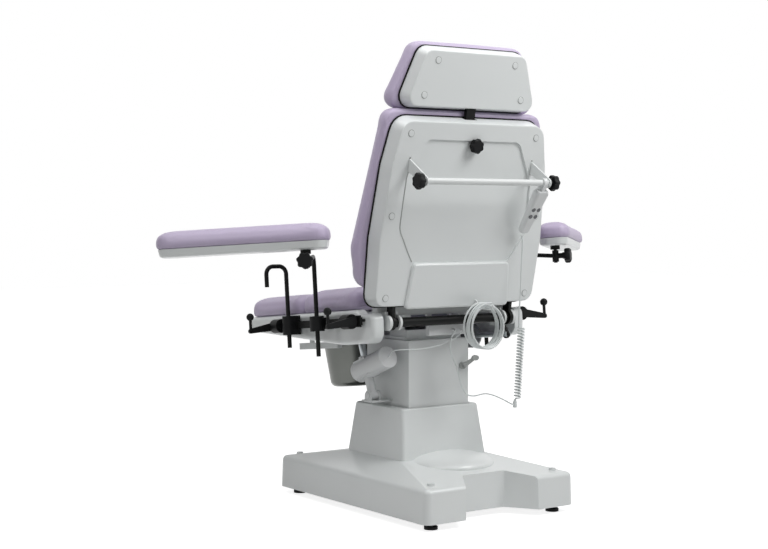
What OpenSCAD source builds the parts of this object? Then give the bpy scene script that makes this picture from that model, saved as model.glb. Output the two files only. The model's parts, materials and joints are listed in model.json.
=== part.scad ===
// Gynecological examination table: a lifting column on a moulded base carries a tilting seat,
// a reclining back with a sliding headrest, two swinging armrests and rods in rail clamps.
// The table faces -Y, +X is the patient's left and the feet stand on Z = 0.

/* [Base] */
// Width of the base
base_w = 586; // [540:1:640]
// Length of the base
base_len = 825; // [780:1:860]
// Height of the base's rim over the floor
base_gap = 22; // [18:1:30]
// Height of the base's side wall
base_side_h = 104; // [90:1:120]
// Rise of the base's top from its side to the riser's foot
base_crown_h = 36; // [20:1:44]
// Radius of the base's corners in plan
base_corner_r = 24; // [12:1:30]
// Radius of the base's upper edges
base_edge_r = 15; // [8:1:20]
// Wall of the moulded base
base_wall = 5; // [3:0.5:7]
// Width of the rear notch at its mouth
notch_mouth_w = 288; // [240:1:320]
// Width of the rear notch at its floor
notch_floor_w = 162; // [120:1:200]
// Depth of the rear notch
notch_depth = 98; // [60:1:110]
// Radius of a levelling foot
foot_r = 21; // [16:1:26]
// Radius of a levelling foot's stud
foot_stud_r = 6; // [5:0.5:8]

/* [Column] */
// Width of the riser's mouth
riser_w = 306; // [290:1:320]
// Length of the riser's mouth
riser_len = 268; // [258:1:280]
// Height of the riser's top over the floor
riser_top_z = 323; // [310:1:340]
// Width of the lifting column
column_w = 240; // [230:1:250]
// Length of the lifting column
column_len = 230; // [220:1:236]
// Height of the column's top when it is down
column_top_z = 535; // [530:1:545]
// Travel of the lift
lift_travel = 200; // [100:5:200]
// Sheet of the column
column_wall = 3; // [2:0.5:4]
// Side of the outer mast
mast_w = 120; // [110:1:124]
// Wall of the masts
mast_wall = 4; // [3:0.5:5]

/* [Seat] */
// Height of the tilt shaft when the column is down
tilt_z = 598; // [595:1:605]
// Slope of the seat at rest, front down
seat_pitch = 5.3; // [0:0.1:8]
// Radius of the tilt shaft
tilt_shaft_r = 12.5; // [10:0.5:14]
// Reach of the seat's front from the base's centre
seat_reach = 600; // [560:1:620]
// Half width of the seat's casing
casing_half_w = 303; // [290:1:310]
// Half width of the opening between the seat's legs
cutout_half_w = 85; // [70:1:95]
// Wall of the seat's casing
casing_wall = 4; // [3:0.5:5]
// Thickness of the seat cushion
seat_cushion_t = 72; // [50:1:80]
// Thickness of the front cushion
front_cushion_t = 63; // [45:1:72]
// Side of the seat frame's tubes
frame_tube = 30; // [25:1:32]
// Radius of the bowl's mouth
bowl_r = 100; // [80:1:104]
// Depth of the bowl
bowl_depth = 148; // [100:1:160]

/* [Back] */
// Lean of the back from upright at rest
back_angle = 10.3; // [5:0.1:14]
// Length of the back's shell
back_len = 570; // [550:1:575]
// Half width of the back's shell at its widest
back_half_w = 320; // [290:1:326]
// Half width of the back's shell at its top
back_top_half_w = 275; // [250:1:280]
// Depth of the back's shell
back_depth = 50; // [46:1:54]
// Wall of the moulded shells
shell_wall = 4; // [3:0.5:5]
// Thickness of the back cushion
back_cushion_t = 72; // [50:1:76]
// Length of the head's shell
head_len = 175; // [150:1:176]
// Half width of the head's shell at its foot
head_half_w = 256; // [220:1:260]
// Thickness of the head cushion
head_cushion_t = 70; // [50:1:76]
// Radius of the roll bar
bar_r = 10; // [8:0.5:12]

/* [Arms] */
// Length of an armrest
arm_len = 540; // [480:1:560]
// Width of an armrest
arm_w = 118; // [100:1:120]
// Thickness of an arm cushion
arm_cushion_t = 54; // [40:1:60]
// Height of an arm's shell
arm_shell_h = 25; // [20:1:30]
// Swing of the armrests from straight ahead at rest
arm_swing = 48; // [30:1:60]
// Radius of the arm rods and leg rods
rod_r = 7; // [6:0.5:8]
// Outer radius of a knob
knob_r = 26; // [20:1:28]

/* [Hidden] */

$fn = 48;
mesh_fn = 32;    // circles inside hulls and meshed shells
cut_over = 1;    // overrun of a cut past the face it opens
clear_fit = 0.3; // gap between pieces that only lie beside each other
run_fit = 0.05;  // radial clearance of a turning or sliding fit

// Colours as the photograph shows them
white_paint = "#E6E9E8";
lilac = "#B9ACCB";
black_plastic = "#1E2021";
black_steel = "#2E2E2D";
grey_steel = "#9DA4A6";
cord_grey = "#C9CCCC";

// The whole table is set so that the origin is the middle of its length
frame_y = (seat_reach - base_len / 2) / 2;

// Outlines: corners run anticlockwise, each with its own fillet

least_r = 1; // smallest fillet that an inset outline keeps

function unit(v) = v / norm(v);
function side_normal(a, b) = let (d = unit(b - a)) [-d[1], d[0]];
function before(p, i) = p[(i + len(p) - 1) % len(p)];
function after(p, i) = p[(i + 1) % len(p)];
function inset_corner(p, i, d) =
  let (n1 = side_normal(before(p, i), p[i]), n2 = side_normal(p[i], after(p, i)))
  p[i] + (n1 + n2) * d / (1 + n1 * n2);
function is_convex(p, i) = cross(p[i] - before(p, i), after(p, i) - p[i]) > 0;
function corner_arc(p, i, r, steps) =
  let (
    u = unit(before(p, i) - p[i]),
    v = unit(after(p, i) - p[i]),
    half = acos(u * v) / 2,
    centre = p[i] + unit(u + v) * r / sin(half),
    first = p[i] + u * r / tan(half) - centre,
    turn = (is_convex(p, i) ? 1 : -1) * (180 - 2 * half),
    start = atan2(first[1], first[0])
  )
  [for (k = [0:steps]) centre + r * [cos(start + turn * k / steps), sin(start + turn * k / steps)]];

// A closed outline of filleted corners, drawn in by d, with extra points along its sides
function outline(corners, radii, d = 0, steps = 4, sides = 1) =
  let (
    p = [for (i = [0:len(corners) - 1]) inset_corner(corners, i, d)],
    arcs = [
      for (i = [0:len(p) - 1])
        corner_arc(p, i, is_convex(p, i) ? max(radii[i] - d, least_r) : radii[i] + d, steps)
    ]
  )
  [
    for (i = [0:len(p) - 1])
      let (from = arcs[i][steps], to = after(arcs, i)[0])
        each concat(arcs[i], [for (k = [1:1:sides - 1]) from + (to - from) * k / sides])
  ];

function at_height(points, z) = [for (q = points) [q[0], q[1], z]];
function box_corners(x0, y0, x1, y1) = [[x0, y0], [x1, y0], [x1, y1], [x0, y1]];
function same(value, count) = [for (k = [1:count]) value];

// Skins a solid over rings of equal count, lowest first
module loft(rings) {
  n = len(rings[0]);
  last = len(rings) - 1;
  polyhedron(
    points=[for (r = rings) each r],
    faces=concat(
      [[for (i = [0:n - 1]) i]],
      [
        for (k = [0:last - 1], i = [0:n - 1])
          let (j = (i + 1) % n) each [
            [k * n + i, (k + 1) * n + i, (k + 1) * n + j],
            [k * n + i, (k + 1) * n + j, k * n + j]
          ]
      ],
      [[for (i = [n - 1:-1:0]) last * n + i]]
    )
  );
}

// Rings of a body with one rounded edge at its top
function rounded_top(corners, radii, z0, z1, r, draft = 0, steps = 3) = concat(
  [at_height(outline(corners, radii, 0), z0)],
  [
    for (k = [0:steps])
      let (a = 90 * k / steps)
        at_height(outline(corners, radii, draft + r * (1 - cos(a))), z1 - r + r * sin(a))
  ]
);

// Rings of a cushion: shares of its thickness with the inset there, then the crown
cushion_shares = [[0, 0.42], [0.06, 0.16], [0.22, 0], [0.5, 0.04], [0.72, 0.2], [0.88, 0.55], [0.97, 1.05]];
crown_inset_shares = [1.7, 2.7];
function cushion_rings(corners, radii, t, edge, crown, draw, sides = 3) =
  let (
    half = [max([for (c = corners) c[0]]) - min([for (c = corners) c[0]]),
      max([for (c = corners) c[1]]) - min([for (c = corners) c[1]])] / 2,
    mid = [max([for (c = corners) c[0]]) + min([for (c = corners) c[0]]),
      max([for (c = corners) c[1]]) + min([for (c = corners) c[1]])] / 2,
    pull = function (q)
      let (e = [(q[0] - mid[0]) / half[0], (q[1] - mid[1]) / half[1]])
      [q[0] - draw * sign(e[0]) * pow(abs(e[0]), 3) * cos(90 * e[1]),
        q[1] - draw * sign(e[1]) * pow(abs(e[1]), 3) * cos(90 * e[0])],
    body = [
      for (s = cushion_shares)
        at_height([for (q = outline(corners, radii, edge * s[1], 4, sides)) pull(q)], (t - crown) * s[0])
    ],
    top = [
      for (k = [0:len(crown_inset_shares) - 1])
        at_height(
          [for (q = outline(corners, radii, edge * crown_inset_shares[k], 4, sides)) pull(q)],
          t - crown * (1 - k) / 2 * 0.9
        )
    ]
  )
  concat(body, top);

// Frames of the moving groups

back_ref_y = 184; // a point of the back's rear face, from the base's centre
back_ref_z = 680;

module in_base() translate([0, frame_y, 0]) children();
module in_seat() in_base() translate([0, 0, tilt_z]) rotate([seat_pitch, 0, 0]) children();
// x across, y out of the rear face, z up the back
module in_back() in_base() translate([0, back_ref_y, back_ref_z]) rotate([-back_angle, 0, 0]) children();
// outlines in x and up the back, heights run forward from the rear face
module on_back(n = 0) in_back() translate([0, n, 0]) rotate([90, 0, 0]) children();
module both_sides() for (side = [-1, 1]) scale([side, 1, 1]) children();
module along_x(length, r) rotate([0, 90, 0]) cylinder(h=length, r=r, center=true);
module block(low, high) translate(low) cube(high - low);

// Base

base_top_z = base_gap + base_side_h;
base_half = [base_w / 2, base_len / 2];
base_draft = 3;
riser_y = -32;     // middle of the riser's mouth
riser_flare = 18;  // growth of the riser to its foot, to each side
riser_rear_flare = 28;
riser_corner_r = 12;
riser_edge_r = 8;
riser_foot_z = base_top_z + base_crown_h;
riser_wall = 5;
shroud_gap = 6;    // gap between the column and the riser's mouth
column_y = -25;    // middle of the column
hump_half = [150, 140, 40];
hump_y = 140;
notch_r = 10;
notch_edge_r = 7;

// Height of the base's sloping top over a point in plan
function roof_z(q) =
  let (
    run = min(base_half[0] - abs(q[0]), base_half[1] - abs(q[1])),
    full = base_half[0] - riser_w / 2 - riser_flare
  )
  base_top_z + base_crown_h * max(0, min(1, (run - base_edge_r) / (full - base_edge_r)));

function notch_corners(grow) =
  let (
    tail = base_half[1] * 2,
    slope = (notch_mouth_w - notch_floor_w) / 2 / notch_depth,
    y = base_half[1] - notch_depth - grow
  )
  [
    [-notch_floor_w / 2 - grow / 2, y],
    [notch_floor_w / 2 + grow / 2, y],
    [notch_mouth_w / 2 + grow, base_half[1]],
    [notch_mouth_w / 2 + grow, tail],
    [-notch_mouth_w / 2 - grow, tail],
    [-notch_mouth_w / 2 - grow, base_half[1]]
  ];

module base_body(inset) {
  h = base_half - [inset, inset];
  foot = [riser_w / 2 + riser_flare, riser_len / 2 + riser_rear_flare];
  loft(concat(
    rounded_top(
      box_corners(-h[0], -h[1], h[0], h[1]), same(base_corner_r, 4), base_gap, base_top_z - inset,
      base_edge_r, base_draft
    ),
    [
      at_height(
        outline(box_corners(-foot[0], riser_y - foot[1], foot[0], riser_y + foot[1]), same(base_corner_r, 4)),
        riser_foot_z - inset
      )
    ]
  ));
}

module notch_cut(grow) {
  c = notch_corners(0);
  radii = same(notch_r, 6);
  steps = 3;
  loft(concat(
    [at_height(outline(c, radii, -grow, 4, 3), base_gap - cut_over)],
    [
      for (k = [0:steps])
        let (a = 90 * k / steps)
          [
            for (q = outline(c, radii, -grow - notch_edge_r * (1 - cos(a)), 4, 3))
              [q[0], q[1], roof_z(q) - notch_edge_r * (1 - sin(a))]
          ]
    ],
    [at_height(outline(c, radii, -grow - notch_edge_r, 4, 3), riser_foot_z + base_crown_h)]
  ));
}

module riser_body(inset, z1) {
  h = [riser_w / 2, riser_len / 2] - [inset, inset];
  rear = riser_rear_flare;
  loft([
    at_height(
      outline(box_corners(-h[0] - riser_flare, riser_y - h[1] - rear, h[0] + riser_flare, riser_y + h[1] + rear),
        same(riser_corner_r, 4)),
      riser_foot_z - base_crown_h
    ),
    at_height(outline(box_corners(-h[0], riser_y - h[1], h[0], riser_y + h[1]), same(riser_corner_r, 4)),
      z1 - riser_edge_r),
    at_height(outline(box_corners(-h[0], riser_y - h[1], h[0], riser_y + h[1]), same(riser_corner_r, 4),
        riser_edge_r / 3), z1 - riser_edge_r / 3),
    at_height(outline(box_corners(-h[0], riser_y - h[1], h[0], riser_y + h[1]), same(riser_corner_r, 4),
        riser_edge_r), z1)
  ]);
}

module hump(grow) intersection() {
  translate([0, hump_y, riser_foot_z - base_crown_h / 2])
    scale(hump_half + [grow, grow, grow]) sphere(r=1, $fn=mesh_fn);
  block([-base_half[0], 0, base_top_z - base_side_h / 2], [base_half[0], base_half[1], riser_top_z]);
}

boss_r = 11;
boss_hole_r = 3;
foot_at = [240, 365]; // levelling feet and the bosses over them

module base_shell() color(white_paint) in_base() difference() {
  union() {
    difference() {
      union() {
        base_body(0);
        riser_body(0, riser_top_z);
        hump(0);
      }
      notch_cut(0);
      difference() {
        union() {
          translate([0, 0, -cut_over]) base_body(base_wall);
          riser_body(riser_wall, riser_top_z - riser_wall);
          hump(-base_wall);
        }
        notch_cut(base_wall);
      }
    }
    for (x = [-1, 1], y = [-1, 1]) translate([x * foot_at[0], y * foot_at[1], frame_top_z])
      cylinder(h=roof_z(foot_at) - frame_top_z, r=boss_r);
  }
  mouth = [column_w / 2 + shroud_gap, column_len / 2 + shroud_gap];
  block([-mouth[0], column_y - mouth[1], riser_foot_z], [mouth[0], column_y + mouth[1], riser_top_z + cut_over]);
  for (x = [-1, 1], y = [-1, 1]) translate([x * foot_at[0], y * foot_at[1], frame_top_z - cut_over])
    cylinder(h=base_side_h, r=boss_hole_r);
}

frame_low_z = 34;    // underside of the steel frame in the base
frame_h = 40;
frame_side_w = 50;
frame_side_len = 770;
frame_plate_t = 10;
frame_cross_y = [-210, 150];
frame_top_z = frame_low_z + frame_h;
plate_top_z = frame_top_z + frame_plate_t;

module base_frame() color(black_steel) in_base() difference() {
  union() {
    both_sides() block(
      [foot_at[0] - frame_side_w / 2, -frame_side_len / 2, frame_low_z],
      [foot_at[0] + frame_side_w / 2, frame_side_len / 2, frame_top_z]
    );
    for (y = frame_cross_y) block([-foot_at[0], y - frame_side_w / 2, frame_low_z],
      [foot_at[0], y + frame_side_w / 2, frame_top_z]);
    block([-mast_w, frame_cross_y[0] - frame_side_w / 2, frame_top_z],
      [mast_w, frame_cross_y[1] + frame_side_w / 2, plate_top_z]);
  }
  for (x = [-1, 1], y = [-1, 1]) translate([x * foot_at[0], y * foot_at[1], frame_low_z - cut_over])
    cylinder(h=frame_h + 2 * cut_over, r=foot_stud_r);
}

foot_pad_h = 9;
foot_cone_h = 8;
foot_nut_r = 11;
foot_nut_h = 8;

module levelling_feet() color(black_plastic) in_base()
  for (x = [-1, 1], y = [-1, 1]) translate([x * foot_at[0], y * foot_at[1], 0]) {
    cylinder(h=foot_pad_h, r=foot_r);
    translate([0, 0, foot_pad_h]) cylinder(h=foot_cone_h, r1=foot_r - foot_stud_r / 2, r2=foot_stud_r);
    translate([0, 0, frame_low_z - foot_nut_h]) cylinder(h=foot_nut_h, r=foot_nut_r, $fn=6);
    cylinder(h=frame_top_z, r=foot_stud_r);
  }

// Masts and lift

mast_top_z = 430;
glide_t = mast_wall;           // gap between the two masts, filled by the glides
glide_h = 50;
glide_w = 60;
inner_w = mast_w - 2 * mast_wall - 2 * glide_t;
column_low_z = 95;
plate_t = 8;                   // plate on top of the column
tube_x = -20;                  // lift tube and motor inside the masts
tube_r = 25;
piston_r = 16;
tube_top_z = mast_top_z + 10;
motor_x = 27;
motor_r = 19;
motor_h = 160;

module square_tube(w, wall, z0, z1) translate([0, column_y, z0]) difference() {
  translate([-w / 2, -w / 2, 0]) cube([w, w, z1 - z0]);
  translate([wall - w / 2, wall - w / 2, -cut_over])
    cube([w - 2 * wall, w - 2 * wall, z1 - z0 + 2 * cut_over]);
}

module outer_mast() color(grey_steel) in_base() {
  square_tube(mast_w, mast_wall, plate_top_z, mast_top_z);
  for (a = [0:90:270]) translate([0, column_y, mast_top_z - glide_h]) rotate([0, 0, a])
    block([inner_w / 2 + clear_fit, -glide_w / 2, 0], [mast_w / 2 - mast_wall, glide_w / 2, glide_h]);
}

module lift_motor() color(grey_steel) in_base() translate([0, column_y, plate_top_z]) difference() {
  union() {
    translate([tube_x, 0, 0]) cylinder(h=tube_top_z - plate_top_z, r=tube_r);
    translate([motor_x, 0, 0]) cylinder(h=motor_h, r=motor_r);
    block([tube_x, -motor_r, 0], [motor_x, motor_r, motor_r]);
  }
  translate([tube_x, 0, motor_r]) cylinder(h=tube_top_z, r=piston_r + run_fit);
}

module column_shroud() color(white_paint) in_base() {
  half = [column_w / 2, column_len / 2];
  top = column_top_z - plate_t;
  difference() {
    translate([0, column_y, column_low_z]) linear_extrude(column_top_z - column_low_z)
      square([column_w, column_len], center=true);
    translate([0, column_y, column_low_z - cut_over]) linear_extrude(top - column_low_z + cut_over)
      square([column_w - 2 * column_wall, column_len - 2 * column_wall], center=true);
  }
  // shelf and cheeks that carry the tail of the tilt actuator
  translate([half[0], tail_y, tail_z]) {
    block([0, -shelf_half_y, -tail_r - shelf_t], [tail_out, shelf_half_y, -tail_r]);
    for (x = [tail_x - half[0] - tail_w / 2 - cheek_t, tail_x - half[0] + tail_w / 2])
      difference() {
        hull() {
          block([x, -tail_r, -tail_r], [x + cheek_t, tail_r, 0]);
          translate([x + cheek_t / 2, 0, 0]) along_x(cheek_t, tail_r - shelf_t / 2);
        }
        translate([x + cheek_t / 2, 0, 0]) along_x(cheek_t + 2 * cut_over, tail_bolt_r);
      }
  }
}

module inner_mast() color(grey_steel) in_base()
  square_tube(inner_w, mast_wall, column_low_z + mast_wall, column_top_z - plate_t);

module lift_piston() color(grey_steel) in_base() {
  low = plate_top_z + motor_r + mast_wall;
  translate([tube_x, column_y, low]) cylinder(h=column_top_z - plate_t - low, r=piston_r);
}

// Tilt: yoke on the column, shaft, and the actuator at the column's left

yoke_half = [112, 60];
yoke_base_t = 10;
yoke_ear_x = 95;
yoke_ear_t = 10;
yoke_ear_half_y = 35;
yoke_rear_h = 32;

module tilt_yoke() color(white_paint) in_base() difference() {
  z0 = column_top_z;
  union() {
    block([-yoke_half[0], -yoke_half[1], z0], [yoke_half[0], yoke_half[1], z0 + yoke_base_t]);
    block([-yoke_ear_x, yoke_half[1] - yoke_ear_t, z0], [yoke_ear_x, yoke_half[1], z0 + yoke_rear_h]);
    for (side = [-1, 1]) translate([side * (yoke_ear_x + yoke_ear_t / 2), 0, 0]) {
      block([-yoke_ear_t / 2, -yoke_ear_half_y, z0], [yoke_ear_t / 2, yoke_ear_half_y, tilt_z]);
      block([-yoke_ear_t / 2, 0, z0], [yoke_ear_t / 2, yoke_half[1], z0 + yoke_rear_h]);
      translate([0, 0, tilt_z]) along_x(yoke_ear_t, 2 * tilt_shaft_r);
    }
  }
  translate([0, 0, tilt_z]) along_x(column_w, tilt_shaft_r + run_fit);
}

module tilt_shaft() color(grey_steel) in_base() translate([0, 0, tilt_z])
  along_x(2 * (seat_ear_x + yoke_ear_t), tilt_shaft_r);

tail_x = 175;       // middle of the tilt actuator, across
tail_y = -30;       // bolt through its tail
tail_z = 358;
tail_r = 17;
tail_w = 30;
tail_out = 78;      // reach of its shelf from the column
tail_bolt_r = 6;
shelf_t = 5;
shelf_half_y = 30;
cheek_t = 5;
rod_top_y = -100;   // pin at the top of its rod, at rest
rod_top_z = 538;
tilt_range = 20;
rod_eye_r = 14;
rod_eye_w = 16;
rod_pin_r = 6;
pin_play = 2.4;     // clearance of the opened pivot
housing_r = 35;     // motor housing across the actuator
housing_at_share = 0.46;
housing_rear = 124;
housing_front = 44;
gearbox_half = [27, 34, 30];
sleeve_r = 20;      // outer tube of the actuator
tilt_rod_r = 11;
knuckle_play = 2;

rod_run = norm([rod_top_y - tail_y, rod_top_z - tail_z]);
rod_lean = atan2(tail_y - rod_top_y, rod_top_z - tail_z);

// z runs from the tail bolt to the rod's pin
module on_tilt_actuator() in_base() translate([tail_x, tail_y, tail_z]) rotate([rod_lean, 0, 0]) children();

sleeve_len_share = 0.66;

module tilt_motor() color(white_paint) on_tilt_actuator() {
  sleeve = rod_run * sleeve_len_share;
  difference() {
    union() {
      along_x(tail_w - knuckle_play, tail_r - shelf_t / 2);
      cylinder(h=sleeve, r=sleeve_r - shelf_t);
      translate([0, 0, rod_run * housing_at_share]) {
        block(-gearbox_half, gearbox_half);
        rotate([90, 0, 0]) translate([0, 0, -housing_rear]) cylinder(h=housing_rear + housing_front, r=housing_r);
      }
      translate([0, 0, rod_run * housing_at_share]) cylinder(h=sleeve - rod_run * housing_at_share, r=sleeve_r);
    }
    translate([0, 0, rod_run * housing_at_share]) cylinder(h=rod_run, r=tilt_rod_r + run_fit);
  }
  along_x(tail_w + 2 * cheek_t + 2 * knuckle_play, tail_bolt_r);
  for (x = [-1, 1]) translate([x * (tail_w / 2 + cheek_t + knuckle_play), 0, 0])
    along_x(2 * knuckle_play, 2 * tail_bolt_r - knuckle_play);
}

module tilt_rod() color(grey_steel) on_tilt_actuator() {
  low = rod_run * housing_at_share + knuckle_play;
  translate([0, 0, low]) cylinder(h=rod_run - low, r=tilt_rod_r);
  translate([0, 0, rod_run]) along_x(rod_eye_w, rod_eye_r);
  translate([0, 0, rod_run]) along_x(rod_eye_w + 4 * cheek_t, rod_pin_r);
}

lever_root = [-92, 90, 447]; // lock lever on the column's rear face
lever_tip = [-124, 121, 472];
lever_r = [11, 5];
lever_paddle_r = 13;
lever_paddle_t = 8;

// A cone or rod from one point to another
module between(a, b, r1, r2) {
  v = b - a;
  translate(a) rotate([0, acos(v[2] / norm(v)), atan2(v[1], v[0])]) cylinder(h=norm(v), r1=r1, r2=r2);
}

module lock_lever() color(grey_steel) in_base() {
  translate(lever_root) rotate([-90, 0, 0]) cylinder(h=lever_r[0], r=lever_r[0] + 2 * run_fit);
  between(lever_root + [0, lever_r[0], 0], lever_tip, lever_r[0] - 2, lever_r[1]);
  translate(lever_tip) rotate([90, 0, 0]) scale([1, 2 / 3, 1])
    cylinder(h=lever_paddle_t, r=lever_paddle_r, center=true);
}

// Seat frame, in the seat's own frame: the tilt axis is its origin

seat_ear_x = 115;            // inner face of the long tubes and of the shaft's ears
seat_ear_t = 8;
seat_ear_half_y = 25;
long_z = [1, 31];            // underside and top of the long tubes
long_front_y = -500;
beam_y = [95, 125];          // rear beam
beam_z = [12, 42];
beam_half_w = 262;
cross_y = [-232, -206];
cross_low_z = -24;
hinge_y = 150;               // recline pivot
hinge_z = -10;
hinge_tube_r = 15;
hinge_ear_r = 24;
inner_ear_x = [204, 212];
outer_ear_x = [241, 251];
hinge_pin_r = 8;
arm_plate_x = [228, 238];    // hinge arms of the back
rail_half_h = 12;
rail_x = [316, 326];
rail_y = [-350, 118];
standoff_r = 4.5;
standoff_at = [[-219, -6], [110, 2]];
runner_x = [118, 136];       // runners of the bowl's carrier
runner_z = [-84, -62];
runner_y = [-540, -300];
carrier_t = 6;
carrier_z = -76;
carrier_play = 0.5;
hanger_w = 24;
hanger_x = [126, 131];
rod_bracket_out = 192;
pin = rod_pin_place();

// The tilt rod's pin seen in the seat's frame: y and z
function rod_pin_place() =
  let (y = rod_top_y, z = rod_top_z - tilt_z)
  [y * cos(seat_pitch) + z * sin(seat_pitch), -y * sin(seat_pitch) + z * cos(seat_pitch)];

module hinge_ear(x, r_hole) difference() {
  mid = (x[0] + x[1]) / 2;
  union() {
    block([x[0], beam_y[0], beam_z[0] - hinge_ear_r], [x[1], beam_y[1], beam_z[0]]);
    block([x[0], beam_y[0], hinge_z - hinge_ear_r], [x[1], hinge_y, beam_z[0] - hinge_ear_r]);
    block([x[0], beam_y[1], hinge_z], [x[1], hinge_y, beam_z[0] + hinge_ear_r / 2]);
    translate([mid, hinge_y, hinge_z]) along_x(x[1] - x[0], hinge_ear_r);
  }
  translate([mid, hinge_y, hinge_z]) along_x(x[1] - x[0] + 2 * cut_over, r_hole);
}

module rod_bracket() difference() {
  wide = max(rod_eye_w / 2, tilt_rod_r) + knuckle_play / 2;
  top = long_z[1];
  union() {
    block([seat_ear_x + frame_tube, pin[0] - rod_eye_r, top - cheek_t], [rod_bracket_out, pin[0] + rod_eye_r, top]);
    for (x = [tail_x - wide - cheek_t, tail_x + wide]) {
      block([x, pin[0] - rod_eye_r, pin[1]], [x + cheek_t, pin[0] + rod_eye_r, top]);
      translate([x + cheek_t / 2, pin[0], pin[1]]) along_x(cheek_t, rod_eye_r);
    }
  }
  translate([tail_x, pin[0], pin[1]]) along_x(2 * rod_eye_r + 2 * cheek_t, rod_pin_r + pin_play);
}

module runner() difference() {
  union() {
    block([runner_x[0], runner_y[0], runner_z[0]], [runner_x[1], runner_y[1], runner_z[1]]);
    for (y = [runner_y[0] + 3 * hanger_w, runner_y[1] - hanger_w])
      block([hanger_x[0], y - hanger_w / 2, runner_z[1]], [hanger_x[1], y + hanger_w / 2, long_z[0]]);
  }
  block([runner_x[0] - cut_over, runner_y[0] - cut_over, carrier_z - carrier_play],
    [hanger_x[1], runner_y[1] - carrier_t, carrier_z + carrier_t + carrier_play]);
}

module seat_frame() color(white_paint) in_seat() {
  difference() {
    union() {
      both_sides() {
        block([seat_ear_x, long_front_y, long_z[0]], [seat_ear_x + frame_tube, beam_y[0], long_z[1]]);
        block([seat_ear_x, -seat_ear_half_y, -seat_ear_half_y],
          [seat_ear_x + seat_ear_t, seat_ear_half_y, long_z[0]]);
        block([outer_ear_x[1], beam_y[0], -rail_half_h], [beam_half_w, beam_y[1], beam_z[0]]);
        hinge_ear(inner_ear_x, hinge_tube_r + run_fit);
        hinge_ear(outer_ear_x, hinge_pin_r);
        runner();
      }
      block([-beam_half_w, beam_y[0], beam_z[0]], [beam_half_w, beam_y[1], beam_z[1]]);
      block([-beam_half_w, cross_y[0], cross_low_z], [beam_half_w, cross_y[1], long_z[0]]);
    }
    along_x(2 * column_w, tilt_shaft_r);
  }
  // hinge pins, welded into the outer ears
  both_sides() translate([(arm_plate_x[0] + outer_ear_x[1] + cut_over) / 2, hinge_y, hinge_z])
    along_x(outer_ear_x[1] - arm_plate_x[0] - cut_over, hinge_pin_r);
  rod_bracket();
}

module side_rails() color(black_steel) in_seat() both_sides() {
  block([rail_x[0], rail_y[0], -rail_half_h], [rail_x[1], rail_y[1], rail_half_h]);
  for (s = standoff_at) translate([(beam_half_w + rail_x[0]) / 2, s[0], s[1]])
    along_x(rail_x[0] - beam_half_w, standoff_r);
}

// Casing under the seat: a side profile carried across, hollow and open above

casing_top_z = 36.5;
casing_edge_r = 15;
casing_rear_y = 154;
casing_rim = 26;
wall_gain = 2;                // the hollow's wall grows by this, clear of the rounded side
bay_front_y = -191.5;         // front of the open bay for the frame
bay_half_w = 262.3;
casing_radii = [24, 90, 40, 22, 10, 24, 24];
casing_drop = [72, 22];       // rear stretch of its upper edge, lower to clear the back: from here
casing_drop_run = 16;
casing_seam = 0.4;            // joint between the front tray and the two side covers
cutout_rear_y = -365;
cutout_r = 30;

function casing_profile() = [
  [-seat_reach + 4, -12], [-40, -71], [casing_rear_y, -71],
  [casing_rear_y, casing_drop[1]], casing_drop, [casing_drop[0] - casing_drop_run, casing_top_z],
  [-seat_reach + 2, casing_top_z]
];

module cross_loft(d, half_w, r, steps = 4) {
  ring = function (x, in) [for (q = outline(casing_profile(), casing_radii, in + d, 4)) [q[0], q[1], x]];
  low = [for (k = [0:steps]) let (a = 90 * k / steps) ring(r - half_w - r * cos(a), r - r * sin(a))];
  high = [for (k = [steps:-1:0]) let (a = 90 * k / steps) ring(half_w - r + r * cos(a), r - r * sin(a))];
  rotate([90, 0, 90]) loft(concat(low, high));
}

module cutout_prism(grow, z0, z1) {
  w = cutout_half_w + grow;
  translate([0, 0, z0]) linear_extrude(z1 - z0) polygon(outline(
    box_corners(-w, -seat_reach - cutout_r, w, cutout_rear_y + grow), [1, 1, cutout_r, cutout_r]));
}

module seat_casing() color(white_paint) in_seat() difference() {
  deep = -column_w;
  cross_loft(0, casing_half_w, casing_edge_r);
  difference() {
    union() {
      rotate([90, 0, 90]) translate([0, 0, 2 * casing_wall - casing_half_w])
        linear_extrude(2 * casing_half_w - 4 * casing_wall)
          polygon(outline(casing_profile(), casing_radii, casing_wall + wall_gain));
      block([casing_rim - casing_half_w, casing_rim - seat_reach, 0],
        [casing_half_w - casing_rim, bay_front_y + casing_rim, casing_top_z + cut_over]);
    }
    cutout_prism(casing_wall, deep, beam_half_w);
  }
  cutout_prism(0, deep, beam_half_w);
  block([-bay_half_w, bay_front_y, deep], [bay_half_w, casing_rear_y + cut_over, casing_top_z + cut_over]);
  both_sides() {
    block([bay_half_w - casing_seam, -seat_reach - cut_over, deep],
      [bay_half_w, bay_front_y + cut_over, casing_top_z + cut_over]);
    for (s = standoff_at) translate([casing_half_w, s[0], s[1]])
      along_x(2 * (casing_half_w - bay_half_w) + cut_over, standoff_r + clear_fit);
    for (y = [runner_y[0] + 3 * hanger_w, runner_y[1] - hanger_w])
      block([hanger_x[0] - cheek_t, y - hanger_w, deep], [hanger_x[1] + cheek_t, y + hanger_w, 0]);
  }
}

seat_half_w = 300;
seat_split_y = -268;
seat_rear_y = 45;
front_cushion_rear_y = -273;
cushion_edge = 22;
cushion_draw = 6;

module seat_cushion() color(lilac) in_seat() translate([0, 0, casing_top_z + clear_fit])
  loft(cushion_rings(
    box_corners(-seat_half_w, seat_split_y, seat_half_w, seat_rear_y), same(36, 4), seat_cushion_t,
    cushion_edge, 9, cushion_draw));

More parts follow.
